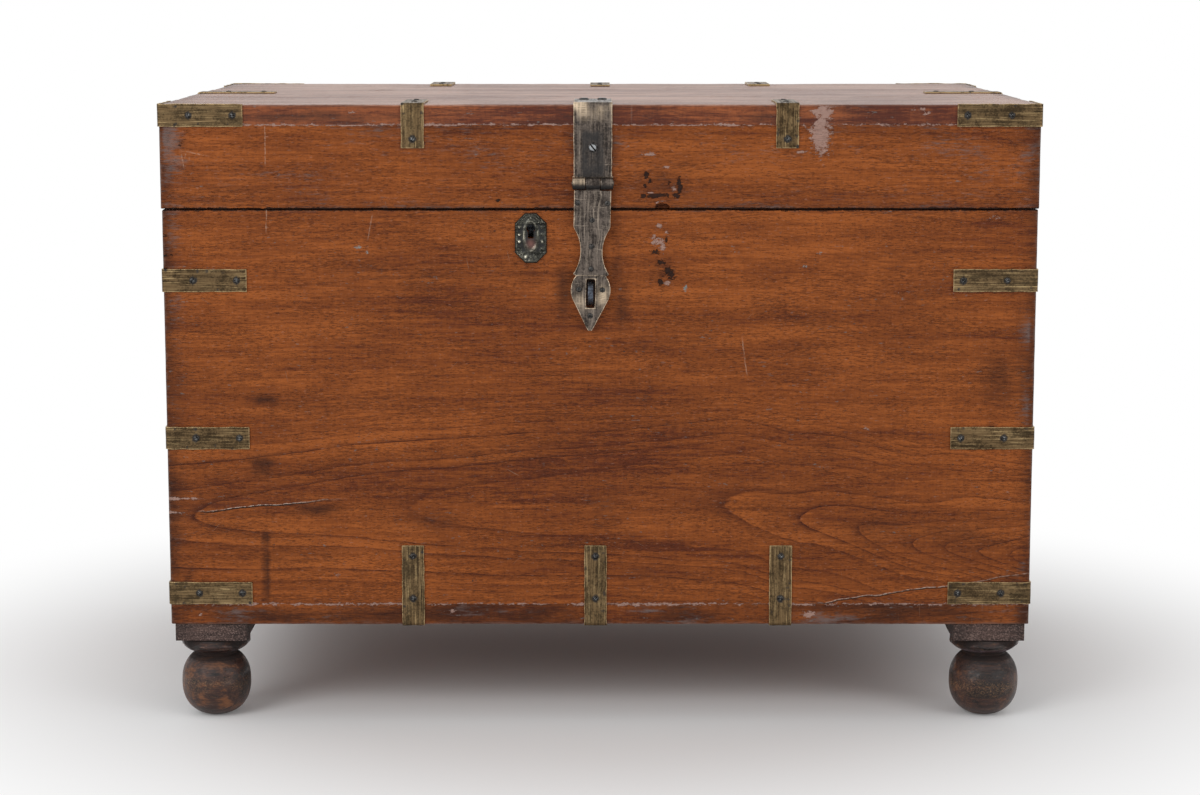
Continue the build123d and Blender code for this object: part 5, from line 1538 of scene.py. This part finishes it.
staple_low, staple_high = corners_of("staple")
staple_bar = 4 * MM
loop_r = (staple_high[2] - staple_low[2] - staple_bar) / 2
loop_y, loop_z = staple_low[1] + loop_r + staple_bar / 2, (staple_low[2] + staple_high[2]) / 2
straight = np.linspace(staple_high[1], loop_y, 12)[:-1]
turn = np.linspace(pi / 2, 3 * pi / 2, 33)
path = np.concatenate([
    np.column_stack([straight, np.full(11, loop_z + loop_r)]),
    np.column_stack([loop_y + loop_r * np.cos(turn), loop_z + loop_r * np.sin(turn)]),
    np.column_stack([straight[::-1], np.full(11, loop_z - loop_r)]),
])
heading = np.gradient(path, axis=0)
heading /= np.linalg.norm(heading, axis=1, keepdims=True)
count = len(path)
centres = np.column_stack([np.full(count, (staple_low[0] + staple_high[0]) / 2), path])
sides = np.tile([1.0, 0, 0], (count, 1))
ups = np.column_stack([np.zeros(count), heading[:, 1], -heading[:, 0]])
places, faces = swept(centres, sides, ups, rounded_section(6 * MM, staple_bar, 1.0 * MM))
staple = new_piece("staple_metal", places, faces)
staple_steel = object_metal("staple_steel", "34363c", "5f656f", "a9b0ba", "1b1a1b", roughness=(0.25, 0.45))
finish(staple, {}, staple_steel, "carcass", "staple", slot="antique_bronze")


# Escutcheon: a small cast bronze plate pinned over the keyhole, with beads down its sides, fluted corners, a
# shell at the foot and a raised oval round the hole; tarnished grey-green, the high ground rubbed.

plate_low, plate_high = corners_of("escutcheon")
plate_x, plate_z = (plate_low[0] + plate_high[0]) / 2, (plate_low[2] + plate_high[2]) / 2
half_w, half_h = (plate_high[0] - plate_low[0]) / 2 / MM, (plate_high[2] - plate_low[2]) / 2 / MM
slant = half_w + half_h - 11
relief_top = (plate_high[1] - plate_low[1]) / MM


def relief(a, b):
    """Height in millimetres over the plate's back: a ground of 1.7, ridges as bell curves of the distance to
    each line (edge, oval, arch), beads as bells about points, flutes and shell as cosines of the angle."""
    edge = np.min([half_w - abs(a), half_h - abs(b), (slant - abs(a) - abs(b)) / 2**0.5], axis=0)
    ridge = 1.2 * np.exp(-(((edge - 1.5) / 0.9) ** 2))
    oval = np.hypot(a / 7.6, (b - 2.2) / 16.0)
    ridge = np.maximum(ridge, 1.3 * np.exp(-(((oval - 1) * 8 / 1.3) ** 2)))
    ridge = np.maximum(ridge, 1.1 * np.exp(-(((np.hypot(a, b - 14.0) - 9.6) / 1.1) ** 2)) * ease(b, 15, 18))
    for bead in (11.9, 3.8, -3.8, -11.9):
        ridge = np.maximum(ridge, 1.6 * np.exp(-((np.hypot(abs(a) - 12.6, b - bead) / 1.9) ** 4)))
    corner = np.hypot(abs(a) - 10.5, abs(b) - 18.0)
    angle = np.arctan2(abs(b) - 18.0, abs(a) - 10.5)
    ridge = np.maximum(ridge, 1.4 * np.exp(-((corner / 4.6) ** 4)) * (0.5 + 0.5 * np.cos(5 * angle + 1)))
    shell, fan = np.hypot(a, b + 14.0), np.arctan2(a, -b - 14.0)
    flutes = 1.5 * np.exp(-(((shell - 8) / 3.4) ** 4)) * (0.5 + 0.5 * np.cos(9 * fan))
    flutes = flutes * ease(abs(fan), 1.3, 1.0)
    flat = np.column_stack([a.ravel(), b.ravel(), 0 * a.ravel()])
    level = 1.7 + np.maximum(ridge, flutes) * (0.85 + 0.25 * rough(flat, 6, 500).reshape(a.shape))
    return np.minimum(level, relief_top - 0.05) - 0.7 * ease(edge, 0.9, 0.0)


key_b = (keyhole_z - plate_z) / MM
corners = [
    np.arctan2(v * z - key_b, h * x)
    for x, z in ((half_w, half_h - 11), (half_w - 11, half_h)) for v in (1, -1) for h in (1, -1)
]
turn = np.unique(np.concatenate([np.linspace(-pi, pi, 200, endpoint=False), corners]))
ux, uz = np.cos(turn), np.sin(turn)
to_side = keyway_half / MM / np.maximum(abs(ux), 1e-6)
to_foot = keyway_reach / MM / np.maximum(-uz, 1e-6)
slot_reach = np.where(uz < 0, np.minimum(to_side, to_foot), 0)
near = np.maximum(keyhole_r / MM, slot_reach)
far = np.min([
    (half_w / np.maximum(abs(ux), 1e-6)),
    (half_h - key_b * np.sign(uz)) / np.maximum(abs(uz), 1e-6),
    (slant - key_b) / np.maximum(abs(ux) + uz, 1e-6) + 1e3 * (abs(ux) + uz < 0),
    (slant + key_b) / np.maximum(abs(ux) - uz, 1e-6) + 1e3 * (abs(ux) - uz < 0),
], axis=0)
share = np.concatenate([[0, 0], np.linspace(0.03, 0.97, 26), [1, 1]])
reach = near + (far - near) * share[:, None]
a, b = reach * ux, key_b + reach * uz
level = relief(a, b)
level[1] -= 0.3
level[0] = level[-1] = 0
rows, columns = a.shape
places = np.stack([plate_x + a * MM, plate_high[1] - level * MM, plate_z + b * MM], axis=-1)
places = places.reshape(-1, 3)
number = np.arange(rows * columns).reshape(rows, columns)
after = np.roll(number, -1, axis=1)
quads = np.stack([number, after, np.roll(after, -1, axis=0), np.roll(number, -1, axis=0)], axis=-1)
escutcheon = new_piece("escutcheon_metal", places, quads.reshape(-1, 4)[:, ::-1], sharp=70)
height = level.ravel()
fields = dict(
    lay=places[:, [0, 2, 1]] + 0.7,
    rim=ease(height, 2.3, 3.3),
    halo=ease(height, 2.2, 1.6) * 0.9,
    polish=0.9 * ease(height, 2.7, 3.4),
    stain=0.75 * np.exp(-((a.ravel() / 4) ** 2) - ((b.ravel() + 6) / 4.5) ** 2),
)
cast_bronze = metal_material(
    "cast_bronze", "232320", "52514a", "979384", "c9c3b0", "11100f", roughness=(0.28, 0.5), cross=1.0,
    brush_from=0.6, stain="7a5148",
)
finish(escutcheon, fields, cast_bronze, "carcass", "escutcheon")
pin_sites = []
for way in (1, -1):
    origin = np.array([plate_x, plate_high[1] - 1.9 * MM, plate_z + way * 21.5 * MM])
    pin_sites.append((origin, -y_axis, x_axis))
(places, faces), local = set_out(dome(1.7 * MM, 1.3 * MM, 16), pin_sites, 510)
pins = new_piece("escutcheon_pins_metal", places, faces)
none = np.zeros(len(places))
fields = dict(lay=local, rim=none + 0.5, halo=none, polish=none)
finish(pins, fields, cast_bronze, "carcass", "escutcheon_pins")


# Inside: the iron lock case on the front board, its bolt, and the keeper loop on the lid's rail.
lock_iron = object_metal("lock_iron", "1f1e1f", "45474b", "7d8186", "2e1a12", roughness=(0.35, 0.6))
for name in ("lock_case", "lock_bolt", "lock_keeper"):
    keep_node(name, lock_iron, 0.5 * MM)
case_flange, keeper_plate = np.array([-74.9, -289.6, 544]), np.array([-86.9, -290.6, 585.3])
for x_way in (-1, 1):
    for z_way in (-1, 1):
        origin = (case_flange + (43.5 * x_way, 0, 16.7 * z_way)) * MM
        body_screws.append((origin, y_axis, x_axis))
    lid_screws.append(((keeper_plate + (22 * x_way, 0, 0)) * MM, y_axis, x_axis))


# Carrying handles at the sides: an iron-bound trunk's brass back plate with two lugs, and a bent rod between
# them that drops against the wood.

handle_brass = object_metal("handle_brass", "443a2b", "72623f", "a8935f", "231c15", roughness=(0.30, 0.52))
for side, x_sign in (("left", -1), ("right", 1)):
    keep_node(f"handle_plate_{side}", handle_brass, 0.5 * MM)
    keep_node(f"handle_{side}", handle_brass, 0.3 * MM)
    for y_way in (-1, 1):
        for z_way in (-1, 1):
            origin = np.array([476.4 * x_sign, 67 * y_way, 401 + 12 * z_way]) * MM
            body_screws.append((origin, x_sign * x_axis, y_axis))


# Strip screws: slotted iron heads, hand-filed, one in every hole of the strips, hinges, lock and handles.
# Each is turned at random and tipped a little out of true.

screw_r = 3.15 * MM
strip_head = slotted(screw_r, 1.3 * MM, 0.4 * MM, 0.6 * MM)
screws_piece("body_screws_metal", strip_head, body_screws, 600, screw_r, "carcass", "body_screws")
screws_piece("lid_screws_metal", strip_head, lid_screws, 601, screw_r, "lid", "lid_screws")


# Floor, light and camera: a pale floor that turns plain white away from the chest, an even pale room, and two
# large soft lamps above the front, the left one stronger.

def open_rays(w):
    """One where a ray comes from the camera, off a gloss or through glass, and nothing where it lights."""
    path = w.tree.nodes.new("ShaderNodeLightPath")
    kinds = ("Camera", "Glossy", "Transmission")
    return w.most(*(Signal(w, path.outputs[f"Is {kind} Ray"]) for kind in kinds))


corners = np.array([(-14, -9, 0.0), (14, -9, 0.0), (14, 40, 0.0), (-14, 40, 0.0)])
floor = new_piece("floor", corners, [[0, 1, 2, 3]])
material, w = new_material("pale_floor")
place = w.add("TexCoord", out="Object")
flat = w.add("VectorMath", {0: place, 1: (1, 1, 0)}, operation="MULTIPLY")
away = w.add("VectorMath", {0: flat}, "Value", operation="LENGTH")
share = open_rays(w) * w.step(away, 0.40, 1.05)
matt = w.add("BsdfDiffuse", {"Color": (0.88, 0.88, 0.88, 1.0)})
white = w.add("Emission", {"Color": (1.0, 1.0, 1.0, 1.0), "Strength": 1.0})
w.show(w.add("MixShader", {0: share, 1: matt, 2: white}))
floor.data.materials.append(material)

room = bpy.data.worlds.new("pale_room")
room.use_nodes = True
room.node_tree.nodes.clear()
w = Wiring(room.node_tree)
strength = w.add("MapRange", {"Value": open_rays(w), "To Min": 0.62, "To Max": 1.0})
w.show(w.add("Background", {"Color": (1.0, 1.0, 1.0, 1.0), "Strength": strength}), "World")
bpy.context.scene.world = room

for name, spot, aim, size, power in (
    ("left_lamp", (-2.6, -3.5, 2.4), (0, -0.2, 0.35), 2.2, 70.0),
    ("right_lamp", (3.2, -3.0, 1.8), (0, -0.2, 0.35), 2.2, 32.0),
):
    lamp = bpy.data.lights.new(name, "AREA")
    lamp.shape = "SQUARE"
    lamp.size = size
    lamp.energy = power
    holder = bpy.data.objects.new(name, lamp)
    bpy.context.scene.collection.objects.link(holder)
    holder.location = spot
    reach = np.array(aim) - np.array(spot)
    down = np.arctan2(-reach[2], np.hypot(reach[0], reach[1]))
    holder.rotation_euler = (pi / 2 - down, 0, np.arctan2(reach[1], reach[0]) - pi / 2)

view = bpy.data.cameras.new("view")
view.lens = 82.7
view.sensor_width = 36
view.clip_end = 200
camera = bpy.data.objects.new("view", view)
bpy.context.scene.collection.objects.link(camera)
camera.location = (0, -3.291, 0.8096)
camera.rotation_euler = (radians(90 - 8.5), 0, 0)
bpy.context.scene.camera = camera
bpy.context.scene.view_settings.view_transform = "Standard"
